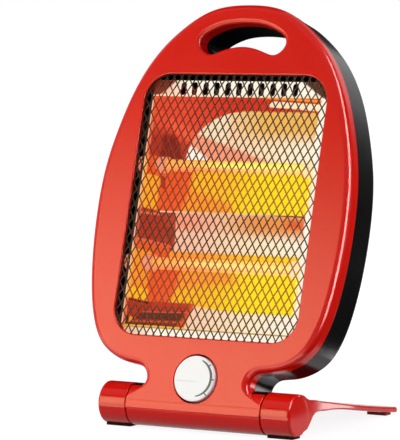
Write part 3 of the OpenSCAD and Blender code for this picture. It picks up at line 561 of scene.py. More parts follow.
def reflector_material():
    s = Shader("reflector_lit", HEAD)
    x, _, z = s.axes()
    sway = s.scale(s.noise(30, 3), -1.6, 1.6)
    x, z = s.plus(x, sway), s.plus(z, s.mul(sway, 0.35))

    # Painted light on the upper halves of the troughs, paler to the right.
    s.lay(s.mix(s.step(x, -60, 45), PALE_PINK, CREAM))
    s.lay(WHITE_HOT, s.step(x, 20, 75), 0.8)
    s.lay(AMBER, s.between(z, 147, 164, 12), s.step(x, -35, 25))
    s.lay(PINK, s.between(z, 149, 164, 8), s.step(x, 0, -45))
    s.lay(FLAME, s.between(z, 153, 160, 5), s.between(x, 50, 68, 14))
    s.lay(tone(240, 180, 84), s.between(z, 228, 262, 16), s.step(x, -30, 25))
    s.lay(tone(246, 222, 184), s.patch(x, z, [(-56, 226), (-20, 222), (-6, 250), (-40, 250)], 8))
    s.lay(PINK, s.left_of(x, z, (20, 211), (-47, 231), 4), s.between(z, 204, 240, 6), s.step(x, 44, 4))
    s.lay(WHITE_HOT, s.patch(x, z, [(-60, 205), (-30, 205), (-36, 211), (-52, 222), (-60, 216)], 4))

    # Lower halves, with the tube's light painted from flame at the left to yellow at the right.
    lit = s.mix(s.step(x, -30, 30), GOLD, YELLOW)
    lit = s.mix(s.patch(x, z, [(-56, 162), (0, 163), (-5, 172), (-56, 187)], 9), lit, ORANGE)
    lit = s.mix(s.patch(x, z, [(-56, 98), (8, 108), (-6, 121), (-56, 121)], 12), lit, ORANGE)
    lit = s.mix(s.step(x, -45, -53), lit, FLAME)
    for low, high in LIT_HALVES:
        if low < RIDGE_Z:
            low = s.math("MULTIPLY_ADD", s.step(x, 20, -50), 5.0, low)
        s.lay(lit, s.step(s.minus(z, low), -0.8, 0.8), s.step(z, high + 1, high - 1))
    s.lay(s.mix(s.step(x, -40, 45), ORANGE, tone(252, 206, 30)), s.between(z, 123, 131.5, 1.5))

    # The upper trough's top has a painted reflection of the red front, down to a curved edge.
    across = s.mul(s.minus(s.math("MINIMUM", x, 10.0), 10.0), 1 / 68)
    up = s.mul(s.minus(z, 205.0), 1 / 42)
    outside = s.mul(s.step(s.plus(s.mul(across, across), s.mul(up, up)), 0.98, 1.03), s.step(z, 205, 208))
    mirror = s.mix(s.step(x, -60, 5), RED_MIRROR, RED_GLOW)
    bright = s.patch(x, z, [(-80, 236), (-30, 216), (-30, 226), (-80, 246)], 6)
    mirror = s.mix(bright, mirror, tone(240, 84, 52))
    mirror = s.mix(s.patch(x, z, [(-80, 206), (-50, 206), (-50, 222), (-80, 228)], 8), mirror, EMBER)
    s.lay(mirror, outside)
    s.lay(CREAM, s.patch(x, z, [(30, 250.2), (80, 247.8), (80, 254.5), (30, 254.5)], 1.2))

    # Painted brown reflections of the housing's inside at the left.
    s.lay(EMBER, s.patch(x, z, [(-80, 131.5), (-57.5, 131.5), (-52.5, 162.2), (-80, 162.2)], 1.6))
    s.lay(tone(150, 36, 20), s.patch(x, z, [(-80, 140), (-58, 140), (-56, 150), (-80, 150)], 5))
    s.lay(tone(232, 84, 52), s.between(z, 134.5, 136, 1), s.step(x, -57, -59))
    box = s.mix(s.between(z, 69.5, 77.5, 2), tone(188, 40, 22), BROWN)
    box = s.mix(s.step(z, 67.5, 65.5), box, tone(110, 30, 14))
    for low, tilt in ((77.8, 0.035), (68.2, 0.03)):
        line = s.minus(z, s.math("MULTIPLY_ADD", x, tilt, low + 1.4))
        box = s.mix(s.mul(s.between(line, -0.55, 0.55, 0.8), 0.8), box, tone(216, 92, 62))
    box = s.mix(s.mul(s.step(x, -32, -26), 0.7), box, FLAME)
    s.lay(box, s.patch(x, z, [(-80, 60), (-20.5, 60), (-26.5, 87), (-80, 87)], 1.4))
    s.lay(tone(250, 178, 60), s.between(z, 62.4, 64.0, 0.8), s.step(x, -18, -22))

    # The ridge has a painted highlight at the left and painted shade at the right.
    ridge = s.mix(s.step(x, 25, 55), PALE_PINK, tone(150, 16, 10))
    s.lay(ridge, s.between(z, RIDGE_Z - 0.6, RIDGE_Z + 0.7, 0.5))
    return glow(s)


def flange_material():
    """The reflector's flat rim, in painted light. Its lower top strip mirrors red, the slotted strip above is
    pale.
    """
    s = Shader("flange_lit", HEAD)
    x, _, z = s.axes()
    s.lay(s.mix(s.step(x, -80, -40), tone(236, 180, 140), WHITE_HOT))
    strip = s.mix(s.step(x, -70, 0), RED_MIRROR, RED_GLOW)
    s.lay(strip, s.between(z, 240, LIP_TOP_Z, 0.8), s.step(x, 77.5, 76.5))
    s.lay(CREAM, s.patch(x, z, [(29, 251.5), (31, 249), (78, 248), (78, 252.8), (34, 254.9)], 1))
    s.lay(ORANGE, s.patch(x, z, [(24, 257), (78, 254.2), (78, 256.6), (24, 258.4)], 0.8))
    s.lay(CREAM, s.between(z, 258, 259.6, 0.8))
    # Painted shade in the corners at the top.
    s.lay(tone(120, 26, 18), s.patch(x, z, [(-90, 257.5), (-73, 259.5), (-59, 272), (-90, 272)], 2))
    s.lay(tone(78, 34, 24), s.patch(x, z, [(58, 272), (79, 258), (90, 258), (90, 272)], 2))
    # The sides show painted reflections of the lit and the dark parts of the troughs beside them.
    warm = s.mix(s.plus(s.between(z, 163, 206, 5), s.between(z, 86, 130, 5)), FLAME, tone(250, 160, 50))
    warm = s.mix(s.between(z, 136, 161, 4), warm, EMBER)
    s.lay(s.mix(s.step(x, -79.9, -79.3), tone(255, 206, 172), warm), s.step(x, -76, -78), s.step(z, 258, 256))
    s.lay(tone(58, 14, 9), s.step(x, -80.2, -80.8))
    lit = s.plus(s.between(z, 166, 196, 8), s.between(z, 84, 114, 8))
    s.lay(tone(250, 234, 130), s.step(x, 76, 77), s.step(x, 80, 78), lit)
    s.lay(tone(196, 160, 84), s.between(z, 61.4, 62.9, 0.6), s.step(x, 78, 76))
    return glow(s)


def right_end_material():
    """The reflector's right end plate, with the painted light of both tubes."""
    s = Shader("reflector_end_right_lit", HEAD)
    z = s.axes()[2]
    s.lay(s.mix(s.between(z, 131, RIDGE_Z, 4), CREAM, PALE_PINK))
    for low, high in LIT_HALVES:
        s.lay(tone(252, 236, 110), s.between(z, low, high, 3))
    return glow(s)


def left_end_material():
    """The reflector's left end plate, seen along its slant: painted warm bands of light between painted dark
    ones.
    """
    s = Shader("reflector_end_left_lit", HEAD)
    _, y, z = s.axes()
    y = s.plus(y, s.scale(s.noise(40, 3), -1.2, 1.2))
    s.lay(s.mix(s.step(z, 222, 238), EMBER, tone(234, 76, 46)))
    s.lay(tone(126, 22, 12), s.between(z, 208, 228, 6), s.step(y, -3, 1))
    s.lay(FLAME, s.between(z, 163, 208, 1.5))
    s.lay(tone(250, 166, 38), s.between(z, 163, 191.5, 1.5), s.step(y, 3, 0))
    s.lay(tone(160, 34, 16), s.patch(y, z, [(3, 183), (7, 181), (5, 192), (1, 193)], 2))
    s.lay(FLAME, s.between(z, 128, 137, 2))
    s.lay(tone(232, 100, 70), s.between(z, 135.5, 137, 0.8))
    s.lay(s.mix(s.step(y, 1, 5), tone(248, 146, 38), FLAME), s.between(z, 86, 128, 1.5))
    s.lay(GOLD, s.between(z, 87, 96, 3), s.step(y, 6, 3))
    s.lay(DARK, s.between(z, 84.2, 86, 0.8))
    s.lay(tone(232, 110, 80), s.between(s.math("MULTIPLY_ADD", y, -0.12, z), 158.6, 160.6, 1))
    s.lay(s.mix(s.step(y, -9, -7), DARK, ORANGE), s.step(z, 72, 70))
    return glow(s)


COIL_PITCH = 3.2


def quartz_material():
    """Glowing quartz: palest along its middle, more amber above and below it and to the left."""
    s = Shader("quartz_glow", HEAD)
    x, _, z = s.axes()
    coil = s.mul(s.math("SINE", s.mul(x, 2 * math.pi / COIL_PITCH)), 0.06)
    for tube_z, palest in zip(TUBE_ZS, (tone(255, 224, 118), tone(255, 244, 96))):
        up = s.minus(z, tube_z)
        top = s.mix(s.step(x, -45, 30), tone(252, 158, 62), tone(252, 210, 90))
        middle = s.mix(s.step(x, -56, 0), tone(252, 160, 50), palest)
        low = s.mix(s.step(x, -40, 40), tone(242, 140, 70), tone(252, 206, 110))
        across = s.mix(s.step(up, 0.5, 3.5), s.mix(s.step(up, -3.5, -0.5), low, middle), top)
        if tube_z < RIDGE_Z:
            s.lay(across)
        else:
            s.lay(across, s.step(z, RIDGE_Z - 1, RIDGE_Z + 1))
    return glow(s, s.plus(1.0, coil), (0.3, 0.2, 0.1), 0.2)


def cap_material():
    """Ceramic tube ends with painted light: pink from the red side at the left, cream from the pale one."""
    s = Shader("ceramic_lit", HEAD)
    s.lay(s.mix(s.step(s.axes()[0], -20, 20), tone(232, 132, 96), tone(255, 232, 176)))
    return glow(s, 0.85, (0.3, 0.22, 0.16))


def wire_material():
    """Plated wire with painted light: dark against the bright metal, and warm where the yellow light wraps
    round it.
    """
    s = Shader("plated_wire_painted_light", HEAD)
    x, _, z = s.axes()
    warm = s.mix(s.step(x, -40, 30), tone(132, 28, 6), tone(150, 78, 2))
    s.lay(s.mix(s.plus(s.between(z, 160, 198, 5), s.between(z, 80, 124, 5)), tone(24, 9, 6), warm))
    # Painted red reflection on the wires above the upper tube, at the left.
    s.lay(tone(112, 10, 6), s.step(z, 198, 206), s.step(x, -20, -45))
    return s.set(Base_Color=s.mix(s.noise(90, 3), (0.012, 0.008, 0.006), (0.03, 0.02, 0.015)), Metallic=0.9,
                 Roughness=s.scale(s.noise(200, 3), 0.35, 0.55), Emission_Color=s.colour,
                 Emission_Strength=s.mul(s.between(z, 58, 264, 3), s.between(x, -76, 84, 3)))


# ----- the front shell -----

LIP_EDGE_R = 1.4
KNOB_WELL = 7.4


def front_shell():
    half = head_half(237, 16)
    half += [(LIP_X - 0.6, LIP_Z + 0.4), (LIP_X, LIP_Z), (LIP_X, 1.0), (LIP_X, -6.0)]
    outline = Loop(mirrored(half))
    # The lip's end at the hinge barrel is cut straight, so its edge isn't rounded sideways.
    end = (np.abs(outline.points[:, 0]) > LIP_X - 0.7) & (outline.points[:, 1] < LIP_Z + 1)
    outline.out[end, 0] *= 0.05
    window = Loop(round_box(WINDOW_W, WINDOW_H, WINDOW_R, WINDOW_Z, 12), hole=True)
    knob_hole = Loop(circle((0, KNOB_Z), KNOB_R + KNOB_GAP), hole=True)
    # The round edge thins out along the lip that runs from the notch down to the barrel.
    down = (NOTCH[1] - outline.points[:, 1]) / 11
    edge = EDGE_R + (LIP_EDGE_R - EDGE_R) * eased(down)
    sheet = Sheet()
    depth = FRONT_DEPTH - SEAM_GAP
    holes = [(grip_loop(GRIP_LIP), GRIP_LIP, depth, 0), (window, 1.0, WALL, 0), (knob_hole, 0.4, KNOB_WELL, 0)]
    moulding(sheet, (outline, edge, depth, WALL), holes, FACE_Y, WALL)
    return sheet.make("front_shell_skin", HEAD, red)


piece = front_shell()
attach(piece, "head")
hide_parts("front_shell")


BARREL_SKIN_R = BARREL_R - 0.08
BLACK_FROM_DEG = 128


def hinge_barrel(front):
    """The middle of the hinge barrel, parted as the shells are: red before their joint, black behind.
    Beside the neck the black reaches further to the front. The front meets the face in a soft line."""
    sheet = Sheet()
    r = BARREL_SKIN_R
    meets, joint = [math.degrees(math.acos(y / r)) for y in (FACE_Y, JOINT_Y)]
    split = NECK_HALF - 3
    high = BLACK_FROM_DEG
    side, middle = (((high, 360 - joint - high), (meets, 360 - joint - meets)) if front
                    else ((-joint, joint + high), (-joint, 2 * joint)))
    for sign in (-1, 1):
        profile = [(sign * split, r, 0, 1)] + round_end(sign * (MID_HALF - 0.4), r, 0.9, sign, 4)
        lathe_x(sheet, profile, start=side[0], turn=side[1])
    lathe_x(sheet, [(-split, r, 0, 1), (split, r, 0, 1)], n=72, start=middle[0], turn=middle[1])
    name, material = ("hinge_barrel_front_skin", red) if front else ("hinge_barrel_rear_skin", black)
    return sheet.make(name, HEAD, material)


for front in (True, False):
    piece = hinge_barrel(front)
    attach(piece, "head")


# ----- the rear shell -----

NECK_Z = 1.0
# How far the outer wall and the hand hole's wall end behind the joint.
WALL_SHORT, GRIP_SHORT = 0.8, 0.4
GLAND = (0, 46)
GLAND_R, SCREW_R, SCREW_WELL = 6.1, 3.5, 22.0
SCREWS = [(0, GRIP_Z - 2.3), (-96, 200.7), (96, 200.7), (-85, 50), (85, 50)]
VENT_W, VENT_H, VENT_PITCH, VENT_ROWS, VENT_Z, VENT_X = 44.0, 4.0, 12.0, 12, 92.7, 6.0


def rear_shell():
    corner = REAR_EDGE_R[0] + 1
    half = head_half(180, 10) + arc((NECK_HALF - corner, NECK_Z + corner), corner, 0, -90, 8)
    outline = Loop(Loop(mirrored(half)).inset(SHELL_STEP))
    holes = [(grip_loop(GRIP_LIP), REAR_LIP, REAR_DEPTH - GRIP_SHORT, 0)]
    for x in (-1, 1):
        for k in range(VENT_ROWS):
            box = round_box(VENT_W, VENT_H, VENT_H / 2, VENT_Z + k * VENT_PITCH, 4)
            box[:, 0] += x * (VENT_W / 2 + VENT_X)
            holes.append((Loop(box, hole=True), 0.5, WALL, 0))
    for p in SCREWS:
        holes.append((Loop(circle(p, SCREW_R, 24), hole=True), 0.2, SCREW_WELL, 0))
    holes.append((Loop(circle(GLAND, GLAND_R, 32), hole=True), 0.3, WALL, 0))
    # The edge is rounder at the crown than at the hips, where the screws sit close to it.
    up = (outline.points[:, 1] - 55) / 45
    edge = REAR_EDGE_R[0] + (REAR_EDGE_R[1] - REAR_EDGE_R[0]) * eased(up)
    sheet = Sheet()
    moulding(sheet, (outline, edge, REAR_DEPTH - WALL_SHORT, WALL), holes, BACK_Y, WALL, facing=1)
    return sheet.make("rear_shell_skin", HEAD, black)


piece = rear_shell()
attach(piece, "head")
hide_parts("rear_shell")


# ----- the guard -----

GUARD_Y = FACE_Y + WALL + 0.5
MESH_PITCH = (7.06, 12.04)
MESH_PHASE = 0.42
WIRE_R = 0.6
MESH_DOME = 2.0
WIRE_IN = 3.5  # how far the wires reach behind the shell, past the window's edge


def tube_along(sheet, path, r, sides=6):
    path = np.asarray(path, float)
    ahead = unit(np.gradient(path, axis=0))
    side = unit(np.cross(ahead, (0, 1, 0)))
    other = np.cross(ahead, side)
    rings = []
    for p, s, o in zip(path, side, other):
        a = 2 * math.pi * np.arange(sides) / sides
        n = np.outer(np.cos(a), s) + np.outer(np.sin(a), o)
        rings.append(sheet.ring(p + r * n, n))
    for a, b in zip(rings, rings[1:]):
        sheet.strip(b, a)
    sheet.f += [tuple(rings[0]), tuple(rings[-1][::-1])]


def guard_mesh():
    """Two layers of slanted wires that cross in diamonds, very slightly domed to the front."""
    sheet = Sheet()
    mid_z = WINDOW_Z + WINDOW_H / 2
    half_w, half_h, corner = WINDOW_W / 2 + WIRE_IN, WINDOW_H / 2 + WIRE_IN, WINDOW_R + WIRE_IN
    slope = MESH_PITCH[1] / MESH_PITCH[0]
    count = int((2 * half_w + 2 * half_h / slope) / MESH_PITCH[0] / 2) + 2
    for sign in (-1, 1):
        for k in range(-count, count + 1):
            t = np.linspace(-1.02, 1.02, 400) * half_h
            x = (k + MESH_PHASE) * MESH_PITCH[0] + sign * t / slope
            over = np.hypot(np.maximum(np.abs(x) - half_w + corner, 0),
                            np.maximum(np.abs(t) - half_h + corner, 0))
            on = np.flatnonzero((over < corner) & (np.abs(x) < half_w) & (np.abs(t) < half_h))
            if len(on) < 8:
                continue
            at = np.linspace(on[0], on[-1], max(4, len(on) // 40)).astype(int)
            x, t = x[at], t[at]
            dome = MESH_DOME * np.maximum(1 - (x / half_w) ** 2, 0) * np.maximum(1 - (t / half_h) ** 2, 0)
            y = GUARD_Y - dome + sign * WIRE_R * 0.7
            tube_along(sheet, np.c_[x, y, mid_z + t], WIRE_R)
    return sheet.make("guard_wires", HEAD, wire_material())


piece = guard_mesh()
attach(piece, "head")
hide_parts("guard_mesh")


# ----- the reflector -----

MOUTH_W, MOUTH_H, MOUTH_Z = 154.6, 189.0, 62.7
MOUTH_TOP = MOUTH_Z + MOUTH_H
FLANGE_Y = FACE_Y + 6.2
TROUGH_Y = FACE_Y + 36
RIDGE_Y = FACE_Y + 21
FLANGE_W, FLANGE_SIDE, SLOT_STRIP = 3.4, 4.9, 19.8
END_SLANT = 17.0
SHEET_T = 0.8
SLOT_PITCH, SLOT_W, SLOT_H, SLOTS = 10.5, 5.4, 11.4, 11
SLOT_MID_Z = MOUTH_TOP + SLOT_STRIP / 2 + 3.1


def sheet_y(z):
    tube = TUBE_ZS[0] if z < RIDGE_Z else TUBE_ZS[1]
    ridge_side = (z > tube) == (z < RIDGE_Z)
    edge, edge_y = (RIDGE_Z, RIDGE_Y) if ridge_side else (MOUTH_Z if z < RIDGE_Z else MOUTH_TOP, FLANGE_Y)
    return TROUGH_Y - (TROUGH_Y - edge_y) * ((z - tube) / (edge - tube)) ** 2


def sheet_slope(z):
    return (sheet_y(z + 0.01) - sheet_y(z - 0.01)) / 0.02


def reflector(back):
    """One side of the two troughs: the lit front, or the dull back."""
    sheet = Sheet()
    for low, high in ((MOUTH_Z, RIDGE_Z - 0.02), (RIDGE_Z + 0.02, MOUTH_TOP)):
        rings = []
        for z in np.linspace(low, high, 40):
            y, slope = sheet_y(z), sheet_slope(min(max(z, low + 0.1), high - 0.1))
            n = np.array([0, -1, slope]) / math.hypot(1, slope)
            half = MOUTH_W / 2 - END_SLANT * (y - FLANGE_Y) / (TROUGH_Y - FLANGE_Y) + 0.5
            xs = np.linspace(-half, half, 9)
            p = np.c_[xs, np.full(9, y), np.full(9, z)] - back * SHEET_T * n
            rings.append(sheet.ring(p, -n if back else n))
        for a, b in zip(rings, rings[1:]):
            sheet.strip(a, b, closed=False)
    if back:
        return sheet.make("reflector_back", HEAD, dark_steel)
    return sheet.make("reflector_sheet", HEAD, reflector_material())


def reflector_flange():
    w, h = MOUTH_W + 2 * FLANGE_SIDE, MOUTH_H + 2 * FLANGE_W + SLOT_STRIP
    outer = Loop(round_box(w, h, 1.0, MOUTH_Z - 2 * FLANGE_W, 3))
    holes = [(Loop(round_box(MOUTH_W, MOUTH_H, 0.5, MOUTH_Z, 2), hole=True), 0.2, SHEET_T, 0)]
    for k in range(SLOTS):
        slot = round_box(SLOT_W, SLOT_H, SLOT_W / 2 - 0.01, SLOT_MID_Z - SLOT_H / 2, 6)
        slot[:, 0] += (k - (SLOTS - 1) / 2) * SLOT_PITCH
        holes.append((Loop(slot, hole=True), 0.2, SHEET_T, 0))
    sheet = Sheet()
    moulding(sheet, (outer, 0.2, SHEET_T, 0), holes, FLANGE_Y, SHEET_T, steps=2)
    return sheet.make("reflector_flange", HEAD, flange_material())


pieces = [reflector(False), reflector(True), reflector_flange()]
for piece in pieces:
    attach(piece, "head")
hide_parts("reflector")


# ----- the tubes -----

TUBE_Y = FACE_Y + 20
TUBE_R, TUBE_HALF = 5.0, 80.0


def tube(name, z):
    sheet = Sheet()
    lathe_x(sheet, [(-TUBE_HALF, TUBE_R, 0, 1), (TUBE_HALF, TUBE_R, 0, 1)], n=40)
    place = HEAD @ Matrix.Translation((0, TUBE_Y * MM, z * MM))
    return sheet.make(name, place, quartz_glow)


quartz_glow = quartz_material()
for name, z in zip(("lower", "upper"), TUBE_ZS):
    piece = tube("glowing_tube_" + name, z)
    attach(piece, "head")
    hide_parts("quartz_tube_" + name)


# ----- the knob -----

KNOB_TRIM, KNOB_EDGE_R = 0.5, 1.2


def knob():
    """A disc with a rounded front edge, turned about x and then set with x towards the back."""
    sheet = Sheet()
    r = KNOB_R - KNOB_TRIM
    front = round_end(0, r, KNOB_EDGE_R, -1)[::-1]
    lathe_x(sheet, front + [(KNOB_T, r, 0, 1), (KNOB_T, r, 1, 0), (KNOB_T, AXIS_END_R, 1, 0)])
    place = HEAD @ Matrix.Translation((0, (FACE_Y - KNOB_PROUD) * MM, KNOB_Z * MM))
    return sheet.make("knob_dial", place @ Matrix.Rotation(math.pi / 2, 4, "Z"), knob_material(place))


piece = knob()
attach(piece, "knob")
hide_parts("knob")


# ----- the foot -----

PLATE_FRONT_Z, PLATE_T, ARM_T, PLATE_CORNER, PLATE_SAG = 29.5, 4.6, 12.0, 7.0, 1.3
NECK_GAP_HALF, NECK_GAP_BACK = MID_HALF + SEAM_GAP, 58.0
ARM_ROOT_Y = BARREL_R + 5
KNUCKLE_FLAT = 7.0
KNUCKLE_BEVEL = 0.7
PLATE_EDGE_R = 1.6
GAP_CORNER = 10
ARM_SHARE = 0.42  # share of the plate along which the arms thin out
FLAT_Z = AXIS_Z - math.sqrt(BARREL_R ** 2 - KNUCKLE_FLAT ** 2)


def plate_top(y):
    s = (y - ARM_ROOT_Y) / (FOOT_BACK - ARM_ROOT_Y)
    return PLATE_FRONT_Z + (PAD_T + PLATE_T - PLATE_FRONT_Z) * s - PLATE_SAG * 4 * s * (1 - s)


def plate_under(y):
    s = (y - ARM_ROOT_Y) / (FOOT_BACK - ARM_ROOT_Y)
    return plate_top(y) - PLATE_T - (ARM_T - PLATE_T) * max(0, 1 - s / ARM_SHARE) ** 2


def profile_curves():
    """Heights of the top and the underside along y, as smooth curves from the knuckle to the back."""
    top = [(s * BARREL_R, AXIS_Z + h * BARREL_R)
           for s, h in ((0, 0.98), (0.35, 0.955), (0.6, 0.885), (0.8, 0.785), (1, 0.68))]
    top += [(y, plate_top(y)) for y in np.linspace(ARM_ROOT_Y + 4, FOOT_BACK + 1, 12)]
    under = [(0, 4.5), (BARREL_R * 0.55, AXIS_Z - BARREL_R * 0.8), (BARREL_R * 0.8, AXIS_Z - BARREL_R * 0.75),
             (BARREL_R + 1, AXIS_Z - 10), (ARM_ROOT_Y + 1.5, AXIS_Z - 4)]
    under += [(y, plate_under(y)) for y in np.linspace(ARM_ROOT_Y + 8, FOOT_BACK + 1, 12)]
    return [np.array(spline(p, (1, 0), (1, -0.15), 12)) for p in (top, under)]


def foot_plate():
    half = [(0, FOOT_BACK)]
    half += arc((BARREL_HALF - PLATE_CORNER, FOOT_BACK - PLATE_CORNER), PLATE_CORNER, 90, 0, 8)
    half += [(BARREL_HALF, y) for y in np.linspace(FOOT_BACK - PLATE_CORNER - 5, 0, 36)]
    half += [(NECK_GAP_HALF, y) for y in np.linspace(0, NECK_GAP_BACK - GAP_CORNER, 12)]
    half += arc((NECK_GAP_HALF - GAP_CORNER, NECK_GAP_BACK - GAP_CORNER), GAP_CORNER, 0, 90, 8)[1:]
    half += [(0, NECK_GAP_BACK)]
    points = np.array(half + [(-x, y) for x, y in half[-2:0:-1]])
    points[:, 0] *= np.where(np.abs(points[:, 0]) > BARREL_HALF - 0.01, 1 - 0.06 / BARREL_HALF, 1)
    loop = Loop(points)
    top, under = profile_curves()
    sheet = Sheet()
    r = PLATE_EDGE_R

    def surface(points, curve, sign, down=0.0, side=None, lean=0.0):
        y = points[:, 1]
        z, ahead, behind = [np.interp(y + step, curve[:, 0], curve[:, 1]) for step in (0, 0.5, -0.5)]
        n = unit(np.c_[np.zeros(len(y)), behind - ahead, np.ones(len(y))] * sign)
        if side is not None:
            n = n * math.cos(lean) + np.c_[side, np.zeros(len(y))] * math.sin(lean)
        return np.c_[points, z - sign * down], n

    rings = []
    steps = 5
    for curve, sign, order in ((top, 1, range(steps + 1)), (under, -1, range(steps, -1, -1))):
        for k in order:
            a = math.pi / 2 * k / steps
            pts = loop.inset(r * (1 - math.sin(a)))
            place, normal = surface(pts, curve, sign, r * (1 - math.cos(a)), loop.normal, a)
            rings.append((sheet.ring(place, normal), pts))
    for (a, _), (b, _) in zip(rings, rings[1:]):
        sheet.strip(b, a)
    # Points inside the plate, so that its faces follow its curve along y.
    grid = np.array([(x, y) for x in np.linspace(-86, 86, 24) for y in np.linspace(3, 183, 46)])
    body = inside(loop.inset(r + 0.8), grid)
    sheet.fill([rings[0]], grid[body], lambda q: surface(q, top, 1))
    sheet.fill([rings[-1]], grid[body], lambda q: surface(q, under, -1))
    return sheet.make("foot_plate_skin", FOOT, red_foot)


def knuckles():
    sheet = Sheet()
    for sign in (-1, 1):
        inner = sign * (MID_HALF + SEAM_GAP)
        profile = [(inner, AXIS_END_R, -sign, 0), (inner, BARREL_R - KNUCKLE_BEVEL, -sign, 0),
                   (inner + sign * KNUCKLE_BEVEL, BARREL_R, 0, 1), (sign * (BARREL_HALF - 3), BARREL_R, 0, 1)]
        profile += round_end(sign * BARREL_HALF, BARREL_R, 2.5, sign)
        lathe_x(sheet, profile, AXIS_Z, low=FLAT_Z)
    return sheet.make("foot_knuckles_skin", FOOT, red_foot)


pieces = [foot_plate(), knuckles()]
for piece in pieces:
    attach(piece, "foot")
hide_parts("foot")


# ----- finishes of the CAD pieces that stay -----

FINISHES = {
    rubber: ["foot_pads_front"],
    red_rubber: ["foot_pads_rear"],
    steel: ["foot_screws", "hinge_pin_left", "hinge_pin_right", "friction_washer_left", "friction_washer_right",
            "shell_screws", "bracket_screws", "heat_shield", "knob_shaft", "tip_switch_pin"],
    black: ["cord_gland", "selector_switch", "tip_switch_case", "thermal_cutout"],
    dark_steel: ["bracket_left", "bracket_right"],
    housing: ["guard_frame"],
    left_end_material(): ["reflector_end_left"],
    right_end_material(): ["reflector_end_right"],
    cap_material(): ["ceramic_caps_upper", "ceramic_caps_lower"],
    brass: ["selector_nut", "tip_pendulum", "terminal_screws"],
    ceramic: ["terminal_block"],
    filament_material(): ["filament_upper", "filament_lower"],
}
for material, nodes in FINISHES.items():
    for node in nodes:
        slots = frame["nodes"][node].data.materials
        slots.clear()
        slots.append(material)


# ----- stage, light and camera -----

WHITE = (1.0, 1.0, 1.0)


def floor():
    bpy.ops.mesh.primitive_plane_add(size=40)
    plane = bpy.context.object
    plane.name = "floor"
    s = Shader("floor_white")
    x, y, _ = s.axes()
    lift = s.scale(s.step(s.distance(x, y), 300, 1500), 0.88, 1.0)
    s.set(Base_Color=s.mix(s.noise(0.5), (0.24, 0.24, 0.24), (0.26, 0.26, 0.26)), Roughness=0.9,
          Specular_IOR_Level=0.0, Emission_Color=WHITE, Emission_Strength=s.background_light(0.0, lift))
    plane.data.materials.append(s.material)


def area(name, place, aim, size, power):
    """A lamp that shows in no mirror image, where the cards stand for it."""
    data = bpy.data.lights.new(name, "AREA")
    data.shape = "RECTANGLE"
    data.size, data.size_y = size
    data.energy = power
    lamp = added(name, data)
    lamp.location = place
    lamp.rotation_euler = (Vector(aim) - Vector(place)).to_track_quat("-Z", "Y").to_euler()
    lamp.visible_glossy = False


def card(name, place, turn, width, height, colour, strength):
    """A panel that shows only as a mirror image, upright unless it is turned.
    strength(shader, x, z) gives its light at a place on it."""
    mesh = bpy.data.meshes.new(name)
    mesh.from_pydata([(-width / 2, 0, 0), (width / 2, 0, 0), (width / 2, 0, height), (-width / 2, 0, height)],
                     [], [(0, 1, 2, 3)])
    s = Shader(name)
    x, _, z = s.axes()
    s.set(Base_Color=s.mix(s.noise(2), (0.01, 0.01, 0.01), (0.012, 0.012, 0.012)), Roughness=1.0,
          Specular_IOR_Level=0.0, Emission_Color=colour, Emission_Strength=strength(s, x, z))
    mesh.materials.append(s.material)
    plane = added(name, mesh)
    plane.location = place
    plane.rotation_euler = [math.radians(a) for a in turn]
    plane.visible_camera = plane.visible_diffuse = plane.visible_shadow = plane.visible_transmission = False


def low_softbox(s, x, z):
    """Even below, fading out towards the top."""
    return s.math("MULTIPLY_ADD", s.step(z, 920, 830), 3.2, s.mul(s.step(z, 1160, 930), 8.0))


def side_panel(s, x, z):
    """A dark panel, a little paler towards the front."""
    return s.mul(s.between(x, -1100, -590, 100), 0.1)


def dark_flag(s, x, z):
    """A dark cloth that black and shaded sides mirror instead of the pale surroundings."""
    return s.mul(s.step(z, 0, 1100), 0.04)


def floor_softbox(s, x, z):
    """Light lying on the floor, brightest close to the heater."""
    return s.mul(s.step(z, 900, 100), 8.8)


def arm_softbox(s, x, z):
    """A small even light beside the foot's arm."""
    return s.mul(s.between(x, -30, 30, 2), 9.0)


def edge_softbox(s, x, z):
    """A narrow light that leans with the head, close to its right edge."""
    return s.mul(s.between(x, -25, 25, 8), s.step(z, 60, 110), 50.0)


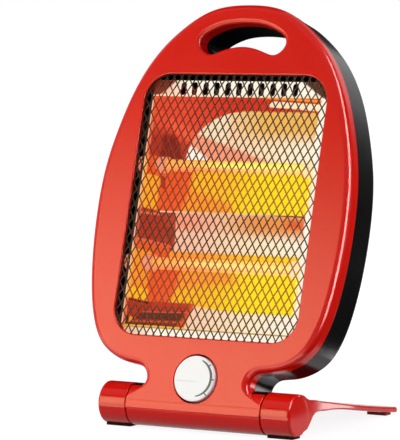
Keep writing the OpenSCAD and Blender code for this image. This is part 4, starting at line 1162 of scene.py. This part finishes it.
def world():
    studio = bpy.data.worlds.new("studio")
    studio.use_nodes = True
    bpy.context.scene.world = studio
    nodes = Nodes(studio.node_tree)
    background = studio.node_tree.nodes["Background"].inputs
    nodes.put(background["Color"], WHITE)
    nodes.put(background["Strength"], nodes.background_light(0.33, 1.0))


def camera():
    """The photograph's viewpoint, fitted to the heater's outline."""
    azimuth, elevation, roll = math.radians(29.5510), math.radians(3.5623), math.radians(0.37214)
    place = Vector((1122.196, -2068.695, 313.841)) * MM
    data = bpy.data.cameras.new("camera")
    data.lens, data.sensor_width = 231.18, 36.0
    cam = added("camera", data)
    cam.matrix_world = (Matrix.Translation(place) @ Matrix.Rotation(azimuth, 4, "Z")
                        @ Matrix.Rotation(math.pi / 2 - elevation, 4, "X") @ Matrix.Rotation(roll, 4, "Z"))
    bpy.context.scene.camera = cam


floor()
world()
camera()
area("key", (-1.05, -1.75, 0.5), (0, 0, 0.2), (1.1, 0.8), 22)
area("top", (-0.3, -0.5, 1.8), (0, 0, 0.15), (1.6, 1.6), 9)
area("right", (1.7, 0.35, 0.5), (0, 0, 0.15), (0.8, 0.9), 17)
card("softbox_low", (-1.06, -1.7, 0), (0, 0, -32), 1.5, 1.4, (1.0, 0.94, 0.56), low_softbox)
card("softbox_side", (0.5, 0.4, 0), (0, 0, 90), 2.2, 0.62, (1.0, 0.92, 0.88), side_panel)
card("floor_flag", (0.45, -0.3, 0.0007), (-90, 0, 0), 0.6, 1.1, WHITE, dark_flag)
card("back_flag", (-0.88, 1.2, 0.17), (0, 0, 0), 1.42, 1.3, WHITE, dark_flag)
card("top_flag", (-0.9, -0.3, 1.5), (-90, 0, 0), 1.4, 1.6, WHITE, dark_flag)
card("grip_flag", (-0.36, 0.06, 0.2), (-90, 0, 0), 0.96, 1.1, WHITE, dark_flag)
card("softbox_arm", (0.125, 0.053, 0), (0, 0, 90), 0.062, 0.03, (1.0, 0.9, 0.9), arm_softbox)
card("softbox_edge", (0.2, -0.148, 0), (0, LEAN_DEG, 90), 0.06, 0.56, (1.0, 0.92, 0.88), edge_softbox)
card("softbox_floor", (-0.35, -0.15, 0.0006), (90, 0, 0), 1.1, 0.9, (1.0, 0.9, 0.7), floor_softbox)
bpy.context.scene.view_settings.view_transform = "Standard"
